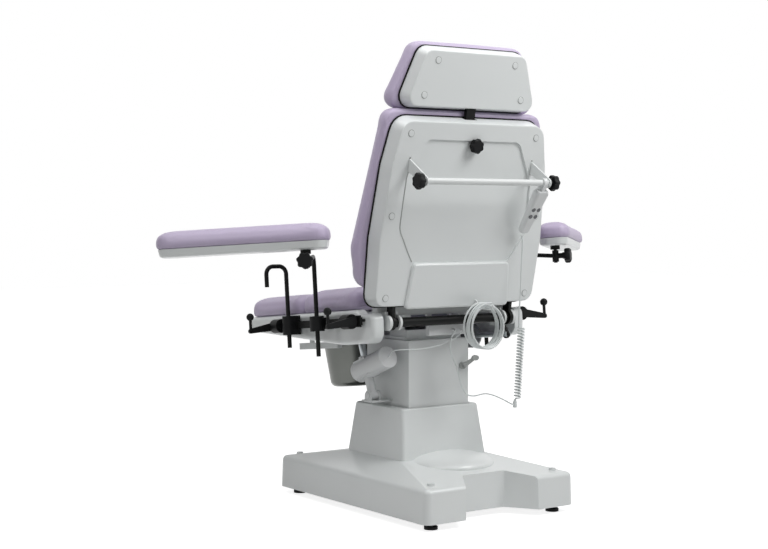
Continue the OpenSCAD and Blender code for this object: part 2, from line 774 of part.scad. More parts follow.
module front_cushion() color(lilac) in_seat() translate([0, 0, casing_top_z + clear_fit]) {
  x = [seat_half_w, cutout_half_w + 4];
  y = [-seat_reach, cutout_rear_y - 2, front_cushion_rear_y];
  loft(cushion_rings(
    [[-x[0], y[0]], [-x[1], y[0]], [-x[1], y[1]], [x[1], y[1]], [x[1], y[0]], [x[0], y[0]], [x[0], y[2]], [-x[0], y[2]]],
    [44, 30, 26, 26, 30, 44, 36, 36], front_cushion_t, 3 * cushion_edge / 4, 7, 0));
}

// Clamps on the rails, with the levers that close the end ones

clamp_in_x = 309;
rod_x = 343;
leg_rod_y = -269;
arm_rod_y = -98;
clamp_a_half = [20, 31];      // clamp of the leg rod: half length, half height
clamp_b_r = 23;
clamp_b_half_h = 24;
clamp_half_h = 18;
hub_r = 23;
front_hub_y = [-355, -312];
rear_hub_y = [58, 101];
lever_pin_r = 6;
lever_bore_len = 26;
clamp_lever_len = 91;
clamp_lever_drop = 12;
clamp_lever_t = 8;
clamp_lever_r = [14, 8];
clamp_ball_r = 12.5;
clamp_ball_up = 34;

module rail_slot() block([rail_x[0] - clear_fit, rail_y[0] - column_w, -rail_half_h - clear_fit],
  [rail_x[1], rail_y[1] + column_w, rail_half_h + clear_fit]);

module end_hub(y, low_end) difference() {
  union() {
    translate([rod_x, y[0], 0]) rotate([-90, 0, 0]) cylinder(h=y[1] - y[0], r=hub_r);
    block([clamp_in_x, y[0], -clamp_half_h], [rod_x, y[1], clamp_half_h]);
  }
  rail_slot();
  translate([rod_x, low_end ? y[0] - cut_over : y[1] - lever_bore_len, 0]) rotate([-90, 0, 0])
    cylinder(h=lever_bore_len + cut_over, r=lever_pin_r + run_fit);
}

module rod_clamps() color(black_plastic) in_seat() both_sides() {
  end_hub(front_hub_y, true);
  end_hub(rear_hub_y, false);
  difference() {
    union() {
      block([clamp_in_x, leg_rod_y - clamp_a_half[0], -clamp_a_half[1]],
        [rod_x, leg_rod_y + clamp_a_half[0], clamp_a_half[1]]);
      translate([rod_x, leg_rod_y, -clamp_a_half[1]]) cylinder(h=2 * clamp_a_half[1], r=clamp_a_half[0]);
      block([clamp_in_x, arm_rod_y - clamp_half_h, -clamp_half_h], [rod_x, arm_rod_y + clamp_half_h, clamp_half_h]);
      translate([rod_x, arm_rod_y, -clamp_b_half_h]) cylinder(h=2 * clamp_b_half_h, r=clamp_b_r);
    }
    rail_slot();
    for (y = [leg_rod_y, arm_rod_y]) translate([rod_x, y, -column_w / 2])
      cylinder(h=column_w, r=rod_r + run_fit);
  }
}

// out is 1 for a lever behind its hub and -1 for one in front
module clamp_lever(side, y, out) color(black_plastic) in_seat() one_side(side)
  translate([rod_x, y, 0]) mirror([0, out < 0 ? 1 : 0, 0]) {
    rotate([-90, 0, 0]) translate([0, 0, -lever_bore_len + clear_fit + cheek_t])
      cylinder(h=lever_bore_len - cheek_t, r=lever_pin_r);
    hull() {
      translate([0, clear_fit, 0]) rotate([-90, 0, 0]) cylinder(h=clamp_lever_t, r=clamp_lever_r[0], $fn=mesh_fn);
      translate([clamp_lever_len, clear_fit, -clamp_lever_drop]) rotate([-90, 0, 0])
        cylinder(h=clamp_lever_t, r=clamp_lever_r[1], $fn=mesh_fn);
    }
    translate([clamp_lever_len, clear_fit + clamp_lever_t / 2, -clamp_lever_drop])
      cylinder(h=clamp_ball_up + clamp_lever_drop, r=lever_pin_r - 1);
    translate([clamp_lever_len, clear_fit + clamp_lever_t / 2, clamp_ball_up]) sphere(r=clamp_ball_r, $fn=mesh_fn);
  }

module one_side(side) mirror([side < 0 ? 1 : 0, 0, 0]) children();

module front_lever_left() clamp_lever(1, front_hub_y[0], -1);
module front_lever_right() clamp_lever(-1, front_hub_y[0], -1);
module rear_lever_left() clamp_lever(1, rear_hub_y[1], 1);
module rear_lever_right() clamp_lever(-1, rear_hub_y[1], 1);

// Back motor, its rod and the junction box

back_motor_x = -190;
back_motor_z = -65.5;
back_motor_y = [-150, 30];
back_motor_r = 40;
back_motor_cap = 12;
back_rod_r = 8;
back_rod_low_y = -55;
back_pin_y = 192.6;
back_pin_r = 5;
fork_reach = 34;
fork_tip = 9;
fork_half_w = 10;
fork_slot_half = 5;
lever_plate_half = 4;
box_half_w = 74;
box_y = [115, 132];
box_z = [-57, -16];
box_post_half_w = 9;

module back_motor() color(grey_steel) in_seat() {
  difference() {
    union() {
      translate([back_motor_x, back_motor_y[0], back_motor_z]) rotate([-90, 0, 0]) {
        translate([0, 0, back_motor_cap]) cylinder(h=back_motor_y[1] - back_motor_y[0] - 2 * back_motor_cap, r=back_motor_r);
        cylinder(h=back_motor_cap, r1=back_motor_r - back_motor_cap, r2=back_motor_r);
        translate([0, 0, back_motor_y[1] - back_motor_y[0] - back_motor_cap])
          cylinder(h=back_motor_cap, r1=back_motor_r, r2=back_motor_r - back_motor_cap);
      }
      block([back_motor_x, -2 * back_motor_r - cheek_t, back_motor_z + back_motor_r / 2],
        [-seat_ear_x, -back_motor_r, long_z[0]]);
    }
    translate([back_motor_x, back_motor_y[0] + shelf_t, back_motor_z]) rotate([-90, 0, 0])
      cylinder(h=back_motor_y[1] - back_motor_y[0], r=back_rod_r + run_fit);
  }
}

module back_rod() color(grey_steel) in_seat() translate([back_motor_x, 0, back_motor_z]) {
  translate([0, back_rod_low_y, 0]) rotate([-90, 0, 0])
    cylinder(h=back_pin_y - fork_reach - back_rod_low_y, r=back_rod_r);
  translate([0, back_pin_y, 0]) difference() {
    block([-fork_half_w, -fork_reach - back_rod_r, -back_rod_r], [fork_half_w, fork_tip, back_rod_r]);
    block([-fork_slot_half, -fork_reach, -back_rod_r - cut_over], [fork_slot_half, fork_tip + cut_over, back_rod_r + cut_over]);
  }
  translate([0, back_pin_y, 0]) along_x(2 * fork_half_w + 2 * knuckle_play, back_pin_r);
}

module junction_box() color(white_paint) in_seat() {
  block([-box_half_w, box_y[0], box_z[0]], [box_half_w, box_y[1], box_z[1]]);
  block([box_half_w - 2 * box_post_half_w, box_y[0], box_z[1]], [box_half_w, box_y[1] - cheek_t, beam_z[0]]);
  block([-box_half_w, box_y[0], box_z[1]], [2 * box_post_half_w - box_half_w, box_y[1] - cheek_t, beam_z[0]]);
}

// Bowl and its sliding carrier

bowl_y = -409;
bowl_wall = 1.5;
bowl_lip = 8;
bowl_base_r = 62;
bowl_round = 22;
carrier_r = 112;
carrier_y = [-520, -312];
carrier_in_x = 96;

module bowl_carrier() color(grey_steel) in_seat() translate([0, 0, carrier_z]) linear_extrude(carrier_t) difference() {
  union() {
    translate([0, bowl_y]) circle(r=carrier_r);
    for (side = [-1, 1]) translate([side * (carrier_in_x + hanger_x[1] - carrier_play) / 2, (carrier_y[0] + carrier_y[1]) / 2])
      square([hanger_x[1] - carrier_play - carrier_in_x, carrier_y[1] - carrier_y[0]], center=true);
  }
  translate([0, bowl_y]) circle(r=bowl_r + clear_fit);
}

module bowl() color(grey_steel) in_seat() translate([0, bowl_y, carrier_z + carrier_t]) rotate_extrude() {
  steps = 6;
  outer = concat(
    [[0, -bowl_depth]],
    [
      for (k = [0:steps])
        let (a = -90 + 75 * k / steps)
          [bowl_base_r + bowl_round * cos(a), bowl_round - bowl_depth + bowl_round * sin(a)]
    ],
    [[bowl_r, -bowl_wall], [bowl_r, 0], [bowl_r + bowl_lip, 0], [bowl_r + bowl_lip, bowl_wall]]
  );
  inner = concat(
    [[bowl_r - bowl_wall, bowl_wall]],
    [
      for (k = [steps:-1:0])
        let (a = -90 + 75 * k / steps, r = bowl_round - bowl_wall)
          [bowl_base_r + r * cos(a), bowl_round - bowl_depth + r * sin(a)]
    ],
    [[0, bowl_wall - bowl_depth]]
  );
  polygon(concat(outer, inner));
}

// Bent rods and tubes

function curve(p, n) = concat(
  [
    for (i = [0:len(p) - 2], k = [0:n - 1])
      let (a = p[max(i - 1, 0)], b = p[i], c = p[i + 1], d = p[min(i + 2, len(p) - 1)], t = k / n)
        (2 * b + (c - a) * t + (2 * a - 5 * b + 4 * c - d) * t * t + (3 * b - a - 3 * c + d) * t * t * t) / 2
  ],
  [p[len(p) - 1]]
);
function headings(p) = [for (i = [0:len(p) - 1]) unit(p[min(i + 1, len(p) - 1)] - p[max(i - 1, 0)])];
function level(u, t) = unit(u - (u * t) * t);
function normals(t, start) = [
  for (i = 0, u = level(start, t[0]); i < len(t); i = i + 1, u = i < len(t) ? level(u, t[i]) : u) u
];

module tube(p, r, sides, start) {
  t = headings(p);
  u = normals(t, start);
  loft([
    for (i = [0:len(p) - 1])
      let (v = cross(t[i], u[i]))
        [for (k = [0:sides - 1]) p[i] + r * (cos(360 * k / sides) * u[i] + sin(360 * k / sides) * v)]
  ]);
}

rod_bend_r = 26;
arm_rod_low_z = -104;
arm_rod_top_z = 214;
spigot = [500, 104];          // axis an armrest swings about
socket_z = [168, 207];
socket_r = 11;
socket_mid_z = 188;
spigot_r = 6;
leg_rod_low_z = -73;
leg_rod_top_z = 194;
leg_rod_out = 418;
leg_rod_tip_z = 127;
socket_lug = 24;

run_dir = unit([spigot[0] - rod_x, spigot[1] - arm_rod_y, 0]);
knob_root = [spigot[0], spigot[1], socket_mid_z] + run_dir * socket_lug;

// A quarter or more of a bend: centre at the origin, in the plane of x and z
module elbow(from, angle) rotate([90, 0, 0]) rotate([0, 0, from]) rotate_extrude(angle=angle)
  translate([rod_bend_r, 0]) circle(r=rod_r);

module arm_rod(side) color(black_steel) in_seat() one_side(side) difference() {
  run_end = [spigot[0], spigot[1], socket_mid_z];
  run = norm([spigot[0] - rod_x, spigot[1] - arm_rod_y]);
  fall = atan2(arm_rod_top_z - socket_mid_z, run);
  bend_len = rod_bend_r * tan((90 + fall) / 2);
  union() {
    translate([rod_x, arm_rod_y, 0]) {
      translate([0, 0, arm_rod_low_z]) cylinder(h=arm_rod_top_z - bend_len - arm_rod_low_z, r=rod_r);
      rotate([0, 0, atan2(run_dir[1], run_dir[0])]) {
        translate([rod_bend_r, 0, arm_rod_top_z - bend_len]) elbow(90 - fall, 90 + fall);
        between([bend_len * cos(fall), 0, arm_rod_top_z - bend_len * sin(fall)], [run, 0, socket_mid_z], rod_r, rod_r);
      }
    }
    translate([spigot[0], spigot[1], socket_z[0]]) cylinder(h=socket_z[1] - socket_z[0], r=socket_r);
    between(run_end, knob_root, socket_r - knuckle_play, socket_r - knuckle_play);
  }
  translate([spigot[0], spigot[1], socket_z[0] - cut_over])
    cylinder(h=socket_z[1] - socket_z[0] + 2 * cut_over, r=spigot_r + run_fit);
  between(run_end, knob_root + run_dir * cut_over, knob_bolt_r + run_fit, knob_bolt_r + run_fit);
}
module arm_rod_left() arm_rod(1);
module arm_rod_right() arm_rod(-1);

module leg_rod(side) color(black_steel) in_seat() one_side(side) {
  straight_z = leg_rod_top_z - rod_bend_r;
  translate([rod_x, leg_rod_y, leg_rod_low_z]) cylinder(h=straight_z - leg_rod_low_z, r=rod_r);
  translate([rod_x + rod_bend_r, leg_rod_y, straight_z]) elbow(90, 90);
  between([rod_x + rod_bend_r, leg_rod_y, leg_rod_top_z], [leg_rod_out - rod_bend_r, leg_rod_y, leg_rod_top_z],
    rod_r, rod_r);
  translate([leg_rod_out - rod_bend_r, leg_rod_y, straight_z]) elbow(0, 90);
  translate([leg_rod_out, leg_rod_y, leg_rod_tip_z]) cylinder(h=straight_z - leg_rod_tip_z, r=rod_r);
}
module leg_rod_left() leg_rod(1);
module leg_rod_right() leg_rod(-1);

// Knobs with lobes, on a bolt: z points out of the knob

knob_lobes = 7;
knob_t = 20;
knob_neck_r = 11;
knob_neck = 8;
knob_bolt_r = 4;
lobe_depth_share = 0.1;
lobe_steps = 6;

module star_knob(r, bolt) {
  n = knob_lobes * lobe_steps;
  rim = function (s) [
    for (k = [0:n - 1])
      let (a = 360 * k / n) r * s * (1 - lobe_depth_share * (1 - cos(knob_lobes * a)) / 2 * 1.6) * [cos(a), sin(a)]
  ];
  loft([
    at_height(rim(0.9), knob_neck), at_height(rim(1), knob_neck + knob_t / 5),
    at_height(rim(1), knob_neck + knob_t * 3 / 4), at_height(rim(0.86), knob_neck + knob_t)
  ]);
  cylinder(h=knob_neck + knob_t / 5, r=knob_neck_r);
  translate([0, 0, -bolt]) cylinder(h=bolt + knob_neck, r=knob_bolt_r);
}

module arm_knob(side) color(black_plastic) in_seat() one_side(side)
  translate(knob_root + run_dir * clear_fit) rotate([0, 90, atan2(run_dir[1], run_dir[0])])
    star_knob(knob_r, socket_lug - spigot_r - knuckle_play);
module arm_knob_left() arm_knob(1);
module arm_knob_right() arm_knob(-1);

// Armrests, in a frame at the spigot whose -y runs along the arm

arm_under_z = 222;
arm_rear = 81;
arm_corner_r = 46;
arm_shell_in = 12;
collar_r = 16;
collar_h = 12;
spigot_low_z = 165;

module on_arm(side) in_seat() one_side(side)
  translate([spigot[0], spigot[1], arm_under_z]) rotate([0, 0, arm_swing]) children();

function arm_corners() = box_corners(-arm_w / 2, arm_rear - arm_len, arm_w / 2, arm_rear);

module arm_tray(d, z0, z1) loft([
  at_height(outline(arm_corners(), same(arm_corner_r, 4), d + arm_shell_in + 8, 8), z0),
  at_height(outline(arm_corners(), same(arm_corner_r, 4), d + arm_shell_in + 2, 8), z0 + 4),
  at_height(outline(arm_corners(), same(arm_corner_r, 4), d + arm_shell_in, 8), z0 + 10),
  at_height(outline(arm_corners(), same(arm_corner_r, 4), d + arm_shell_in - 3, 8), z1)
]);

module arm_shell(side) color(white_paint) on_arm(side) difference() {
  arm_tray(0, 0, arm_shell_h);
  difference() {
    arm_tray(shell_wall, shell_wall, arm_shell_h + cut_over);
    cylinder(h=arm_shell_h, r=collar_r);
  }
}
module arm_shell_left() arm_shell(1);
module arm_shell_right() arm_shell(-1);

module arm_cushion(side) color(lilac) on_arm(side) translate([0, 0, arm_shell_h + clear_fit])
  loft(cushion_rings(arm_corners(), same(arm_corner_r, 4), arm_cushion_t, 16, 7, 3));
module arm_cushion_left() arm_cushion(1);
module arm_cushion_right() arm_cushion(-1);

module arm_spigot(side) color(black_steel) on_arm(side) {
  translate([0, 0, -collar_h]) cylinder(h=collar_h, r=collar_r);
  translate([0, 0, spigot_low_z - arm_under_z]) cylinder(h=arm_under_z - spigot_low_z, r=spigot_r);
}
module arm_spigot_left() arm_spigot(1);
module arm_spigot_right() arm_spigot(-1);

// Back: heights run up the shell, depths run forward from its rear face

back_low = -28;
back_top = back_low + back_len + 3;
back_grow = 10;
recess_d = 6;
recess_corners = [[-190, 108], [190, 108], [253, 206], [245, 360], [182, 490], [-182, 490], [-245, 360], [-253, 206]];
recess_radii = [14, 14, 40, 60, 30, 30, 60, 40];
pod_corners = [[-205, -36], [205, -36], [190, 108], [-190, 108]];
pod_out = 10;
slot_x = 241;
slot_s = [398, 434];
slot_half_w = 3;
cap_at = [[277, 0], [286, 254], [246, 506]];
cap_r = 9.5;
cap_out = 2;
hinge_n = -19.2;              // recline pivot in the back's frame
hinge_s = -82.9;
arm_n = [-40, -10];
arm_top_s = 340;
bar_n = 88;
bar_s = 376;
guide_half_w = 24;
guide_n = [-50, -31];
guide_s = [300, 552];
guide_over = 8;
stem_half_w = 17;
stem_n = [-47, -35];
stem_s = [350, 700];
knob_s = 475;

function back_corners() = [
  [-312, back_low], [312, back_low], [back_half_w, 180], [304, 405], [back_top_half_w, back_top],
  [-back_top_half_w, back_top], [-304, 405], [-back_half_w, 180]
];
back_radii = [36, 36, 90, 160, 46, 46, 160, 90];

function bevel_rings(corners, radii, d, z0, z1, grow) = [
  at_height(outline(corners, radii, d + 7, 5), z0),
  at_height(outline(corners, radii, d + 2, 5), z0 + 2),
  at_height(outline(corners, radii, d, 5), z0 + 7),
  at_height(outline(corners, radii, d - grow * 0.55, 5), (z0 + 7 + z1) / 2),
  at_height(outline(corners, radii, d - grow, 5), z1)
];

module pod(d, low, high) loft([
  at_height(outline(pod_corners, same(14, 4), d + 6, 4), low),
  at_height(outline(pod_corners, same(14, 4), d + 1, 4), low + 3),
  at_height(outline(pod_corners, same(14, 4), d, 4), high)
]);

module back_shell() color(white_paint) {
  on_back() difference() {
    union() {
      loft(bevel_rings(back_corners(), back_radii, 0, 0, back_depth, back_grow));
      pod(0, -pod_out, shell_wall);
    }
    difference() {
      loft(bevel_rings(back_corners(), back_radii, shell_wall, shell_wall, back_depth + cut_over, back_grow));
      linear_extrude(recess_d + shell_wall) polygon(outline(recess_corners, recess_radii, -shell_wall));
    }
    pod(shell_wall, shell_wall - pod_out, recess_d);
    translate([0, 0, -cut_over]) linear_extrude(recess_d + cut_over) polygon(outline(recess_corners, recess_radii));
    for (side = [-1, 1]) {
      // slots of the roll bar's brackets, and openings for the hinge arms
      block([side * slot_x - slot_half_w, slot_s[0] - 2 * bracket_r / 3, -cut_over],
        [side * slot_x + slot_half_w, slot_s[1], recess_d + 2 * shell_wall]);
      block([side * (arm_plate_x[0] + arm_plate_x[1]) / 2 - cheek_t - knuckle_play, back_low - back_grow - cut_over, -arm_n[1] - knuckle_play],
        [side * (arm_plate_x[0] + arm_plate_x[1]) / 2 + cheek_t + knuckle_play, back_low + shell_wall + back_grow, -arm_n[0] + knuckle_play]);
    }
    block([-guide_half_w - clear_fit, back_top - back_grow, -guide_n[1] - clear_fit],
      [guide_half_w + clear_fit, back_top + back_grow + cut_over, back_depth + cut_over]);
    translate([0, knob_s, 0]) cylinder(h=recess_d + 2 * shell_wall, r=knob_bolt_r + clear_fit);
  }
  on_back(cap_out) both_sides() for (c = cap_at) translate([c[0], c[1], 0])
    cylinder(h=cap_out + shell_wall, r=cap_r);
  cord_hook();
}

module back_frame() color(grey_steel) in_back() {
  difference() {
    union() {
      both_sides() {
        block([arm_plate_x[0], arm_n[0], hinge_s], [arm_plate_x[1], arm_n[1], arm_top_s]);
        translate([(arm_plate_x[0] + arm_plate_x[1]) / 2, hinge_n, hinge_s]) along_x(arm_plate_x[1] - arm_plate_x[0], hinge_ear_r);
      }
      block([-arm_plate_x[0], arm_n[1] - 2 * cheek_t, guide_s[0]], [arm_plate_x[0], arm_n[1], arm_top_s]);
      block([-guide_half_w, guide_n[1], guide_s[0]], [guide_half_w, arm_n[1] - 2 * cheek_t, arm_top_s]);
      block([-guide_half_w, guide_n[0], guide_s[0]], [guide_half_w, guide_n[1], guide_s[1]]);
    }
    both_sides() translate([(arm_plate_x[0] + arm_plate_x[1]) / 2, hinge_n, hinge_s])
      along_x(2 * (arm_plate_x[1] - arm_plate_x[0]), hinge_pin_r + run_fit);
    block([-stem_half_w - run_fit, stem_n[0] - run_fit, guide_s[0] - cut_over],
      [stem_half_w + run_fit, stem_n[1] + run_fit, guide_s[1] + cut_over]);
    translate([0, stem_n[1], knob_s]) rotate([-90, 0, 0]) cylinder(h=guide_n[1] - guide_n[0], r=knob_bolt_r + run_fit);
  }
  // tube through the inner ears and the lever that the rod pushes
  translate([0, hinge_n, hinge_s]) along_x(2 * arm_plate_x[0], hinge_tube_r);
  push_lever();
}

lever_len = 70;
lever_slot_in = 55.5;
lever_side = 6;
lever_turn = 37.5; // lean of the lever from straight down at rest

module push_lever() translate([back_motor_x, hinge_n, hinge_s]) rotate([lever_turn + back_angle + seat_pitch, 0, 0]) rotate([180, 0, 0]) {
  wide = back_pin_r + pin_play + lever_side;
  difference() {
    union() {
      block([-lever_plate_half, -wide, 0], [lever_plate_half, wide, lever_len]);
      translate([0, 0, lever_len]) along_x(2 * lever_plate_half, wide);
    }
    block([-lever_plate_half - cut_over, -back_pin_r - pin_play, lever_slot_in], [lever_plate_half + cut_over, back_pin_r + pin_play, lever_len]);
    for (z = [lever_slot_in, lever_len]) translate([0, 0, z]) along_x(2 * lever_plate_half + 2 * cut_over, back_pin_r + pin_play);
  }
}

module back_cushion() color(lilac) on_back(-back_depth - clear_fit) {
  c = [[-338, 10], [338, 10], [370, 140], [306, 569], [-306, 569], [-370, 140]];
  loft(cushion_rings(c, [60, 60, 120, 44, 44, 120], back_cushion_t, 20, 9, 0));
}

bar_half_len = 246;
bracket_t = 5;
bracket_r = 15;
bracket_foot_n = -24;

module roll_bar() color(white_paint) in_back() difference() {
  union() {
    translate([0, bar_n, bar_s]) along_x(2 * bar_half_len, bar_r);
    both_sides() hull() {
      translate([slot_x, bar_n, bar_s]) along_x(bracket_t, bracket_r);
      block([slot_x - bracket_t / 2, bracket_foot_n, slot_s[0] + clear_fit],
        [slot_x + bracket_t / 2, bracket_foot_n / 2, slot_s[1] - clear_fit]);
    }
    both_sides() block([arm_plate_x[0], bracket_foot_n, slot_s[0]], [slot_x, bracket_foot_n / 2 - cut_over, slot_s[1] - clear_fit]);
  }
  both_sides() translate([bar_half_len, bar_n, bar_s]) along_x(2 * (bar_bolt + knuckle_play), knob_bolt_r + run_fit);
}

bar_bolt = 22;

module bar_knob(side) color(black_plastic) in_back() one_side(side)
  translate([bar_half_len + clear_fit, bar_n, bar_s]) rotate([0, 90, 0]) star_knob(knob_r, bar_bolt);
module bar_knob_left() bar_knob(1);
module bar_knob_right() bar_knob(-1);

module head_knob() color(black_plastic) in_back()
  translate([0, clear_fit - recess_d, knob_s]) rotate([-90, 0, 0]) star_knob(knob_r - 2, -stem_n[1] - recess_d - clear_fit);

// Head

head_low = 584;
head_n = -31;
head_depth = 45;
head_grow = 8;
head_slot = 24;
head_cap_at = [[151, 727], [190, 620]];
head_stem_plate = [70, 610, 700];

function head_corners() = [
  [-head_half_w, head_low], [head_half_w, head_low], [head_half_w - 63, head_low + head_len],
  [63 - head_half_w, head_low + head_len]
];

module head_shell() color(white_paint) {
  on_back(head_n) difference() {
    r = [30, 30, 34, 34];
    loft(bevel_rings(head_corners(), r, 0, 0, head_depth, head_grow));
    loft(bevel_rings(head_corners(), r, shell_wall, shell_wall, head_depth + cut_over, head_grow));
    block([-stem_half_w - clear_fit, head_low - head_grow - cut_over, shell_wall],
      [stem_half_w + clear_fit, head_low + head_slot, -stem_n[0] + head_n + clear_fit]);
  }
  on_back(head_n + cap_out) both_sides() for (c = head_cap_at) translate([c[0], c[1], 0]) cylinder(h=cap_out + shell_wall, r=cap_r);
}

module head_stem() color(black_steel) in_back() {
  block([-stem_half_w, stem_n[0], stem_s[0]], [stem_half_w, stem_n[1], stem_s[1]]);
  block([-head_stem_plate[0], stem_n[0] - cheek_t, head_stem_plate[1]], [head_stem_plate[0], stem_n[0], head_stem_plate[2]]);
}

module head_cushion() color(lilac) on_back(head_n - head_depth - clear_fit) {
  c = [[-302, 574], [302, 574], [212, 779], [-212, 779]];
  loft(cushion_rings(c, [36, 36, 46, 46], head_cushion_t, 20, 8, 0));
}

// Handset on the right end of the roll bar, with its cords

handset_x = -222;
handset_top = [86, 352];      // depth and height of its upper end
handset_low = [20, 208];
handset_half = [24, 15];
handset_r = 7;
taper = 0.74;
button_r = 7;
button_t = 2.5;
button_play = 0.4;
button_at = [[-10, 92], [10, 92], [-10, 66], [10, 66]];
button_sink = 1.8;
hook_r = 3;

handset_len = norm(handset_top - handset_low);
bar_seen = bar_from_handset();

// The roll bar's middle in the handset's frame: out of its face and up it
function bar_from_handset() =
  let (a = atan2(handset_top[0] - handset_low[0], handset_top[1] - handset_low[1]), v = [bar_n, bar_s] - handset_low)
  [v[0] * cos(a) - v[1] * sin(a), v[0] * sin(a) + v[1] * cos(a)];

// z runs up the handset, y out of its face
module on_handset() in_back() translate([handset_x, handset_low[0], handset_low[1]])
  rotate([-atan2(handset_top[0] - handset_low[0], handset_top[1] - handset_low[1]), 0, 0]) children();

module handset() color(white_paint) on_handset() difference() {
  union() {
    loft([
      for (s = [[0, taper - 0.1], [0.03, taper], [0.5, 0.88], [0.94, 1], [1, 0.86]])
        at_height(outline(box_corners(-handset_half[0] * s[1], -handset_half[1] * s[1], handset_half[0] * s[1],
          handset_half[1] * s[1]), same(handset_r, 4)), handset_len * s[0])
    ]);
    // hook over the bar, on a neck
    translate([0, bar_seen[0], bar_seen[1]]) difference() {
      union() {
        along_x(2 * handset_r, bar_r + 2 * hook_r);
        block([-handset_r, -bar_r, handset_len - hook_r - bar_seen[1]], [handset_r, bar_r + 2 * hook_r, 0]);
      }
      along_x(4 * handset_r, bar_r + clear_fit);
      block([-2 * handset_r, -2 * bar_r, 0], [2 * handset_r, -bar_r / 4, 2 * bar_r]);
    }
  }
  for (b = button_at) translate([b[0], handset_half[1] - 2 * button_t, b[1]]) rotate([-90, 0, 0])
    cylinder(h=handset_half[1], r=button_r + button_play);
}

module button(i) color(grey_steel) on_handset()
  translate([button_at[i][0], handset_half[1] - 2 * button_t + button_sink, button_at[i][1]]) rotate([-90, 0, 0])
    cylinder(h=button_t, r=button_r);
module back_up_button() button(0);
module back_down_button() button(1);
module lift_up_button() button(2);
module lift_down_button() button(3);

// Cords, laid through points picked by eye from the base's centre
cord_r = 2.4;
cord_sides = 8;
cord_steps = 3;
handset_cord_points = [
  [-222, 232, 868], [-221, 240, 845], [-218, 238, 760], [-217, 236, 690], [-213, 235, 630], [-212, 235, 584.8]
];
curl_top = [-222, 235, 574];
curl_low = [-206, 235, 346];
curls = 24;
curl_rings = 8;
curl_r = 10;
curl_lead = 5;
joint_r = 6;
joint_half = 9;
lead_points = [
  [-196, 235, 326], [-181, 234, 330], [-139, 225, 352], [-98, 210, 366], [-58, 195, 360], [-37, 184, 368],
  [-22, 176, 400], [-14, 168, 446], [6, 160, 502], [2, 156, 540], [-16, 152, 564], [-20, 144, 570],
  [-20, 135.2, 570.4]
];
wire_points = [
  [175, 53.4, 486.6], [176, 64, 491], [188, 92, 503], [196, 118, 512], [153, 132, 514], [107, 134, 513], [40, 142, 522],
  [-20, 152, 544], [-44, 150, 564], [-46, 144, 569], [-46, 135.3, 569.4]
];
wire_r = 1.6;
coil_at = [-68, 236, 583];
coil_loops = 6;
coil_rings = 24;
coil_r = [69, 64];
coil_sway = 3;
coil_pitch = 8;
coil_wire_r = 3.2;
coil_sides = 6;

module handset_cord() color(cord_grey) in_base()
  tube(curve(handset_cord_points, cord_steps), cord_r, cord_sides, [1, 0, 0]);

module curly_cord() color(cord_grey) in_base() {
  axis = curl_low - curl_top;
  e = unit(axis);
  f = level([1, 0, 0], e);
  g = cross(e, f);
  n = curls * curl_rings;
  at = function (k) curl_top + axis * k / n + curl_r * (cos(360 * k / curl_rings) * f + sin(360 * k / curl_rings) * g);
  first = at(0);
  last = at(n);
  tube(
    concat([first - 2 * curl_lead * e, first - curl_lead * e], [for (k = [1:n - 1]) at(k)],
      [last + curl_lead * e, last + 2 * curl_lead * e]),
    cord_r, coil_sides, g
  );
}

module lead_cord() color(cord_grey) in_base() {
  tube(curve(lead_points, cord_steps), cord_r, cord_sides, [0, 0, 1]);
  translate(curl_low + [curl_r, 0, -2 * curl_lead - joint_half]) cylinder(h=2 * joint_half, r=joint_r, center=true);
}

module motor_wire() color(black_plastic) in_base()
  tube(curve(wire_points, cord_steps), wire_r, cord_sides, [0, 0, 1]);

module cord_coil() color(cord_grey) in_base() {
  n = coil_loops * coil_rings;
  at = function (k)
    let (a = 90 + 360 * k / coil_rings, turn = k / coil_rings, sway = coil_sway * sin(137 * turn))
    coil_at + [
      (coil_r[1] + sway) * cos(a), coil_pitch * (turn - coil_loops / 2), (coil_r[0] + sway) * sin(a) + sway
    ];
  p = [for (k = [0:n]) at(k)];
  lead = [coil_wire_r * 3, 0, 0];
  path = concat([p[0] + lead, p[0] + lead / 2], [for (k = [1:n - 1]) p[k]], [p[n] - lead / 2, p[n] - lead]);
  tube(path, coil_wire_r, coil_sides, [0, 1, 0]);
  gaps = [
    for (i = [0:2:n], j = [i + coil_rings / 2:1:min(n, i + 2 * coil_rings)]) norm(p[i] - p[j]) - 2 * coil_wire_r
  ];
  echo(least_gap=min(gaps));
}

hook_points = [[-68, 186, 664], [-68, 197, 661], [-68, 202, 648], [-68, 209, 640], [-68, 268, 639], [-68, 277, 652]];

module cord_hook() in_base() tube(curve(hook_points, 2), hook_r, cord_sides, [1, 0, 0]);

base_shell();
base_frame();
levelling_feet();
outer_mast();
lift_motor();
column_shroud();
inner_mast();
lift_piston();
tilt_yoke();
tilt_motor();
lock_lever();
tilt_rod();
seat_frame();
tilt_shaft();
seat_casing();
seat_cushion();
front_cushion();
side_rails();
rod_clamps();
front_lever_left();
front_lever_right();
rear_lever_left();
rear_lever_right();
back_motor();
back_rod();
junction_box();
bowl_carrier();
bowl();
arm_rod_left();
arm_rod_right();
leg_rod_left();
leg_rod_right();
arm_knob_left();
arm_knob_right();
arm_shell_left();
arm_shell_right();
arm_cushion_left();
arm_cushion_right();
arm_spigot_left();
arm_spigot_right();
back_shell();
back_frame();
back_cushion();
roll_bar();
bar_knob_left();
bar_knob_right();
head_knob();
head_shell();
head_stem();
head_cushion();
handset();
back_up_button();
back_down_button();
lift_up_button();
lift_down_button();
handset_cord();
curly_cord();
lead_cord();
motor_wire();
cord_coil();
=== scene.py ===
# Gynecological examination table in lilac vinyl and white gelcoat, seen from behind and to its left
import math
import json

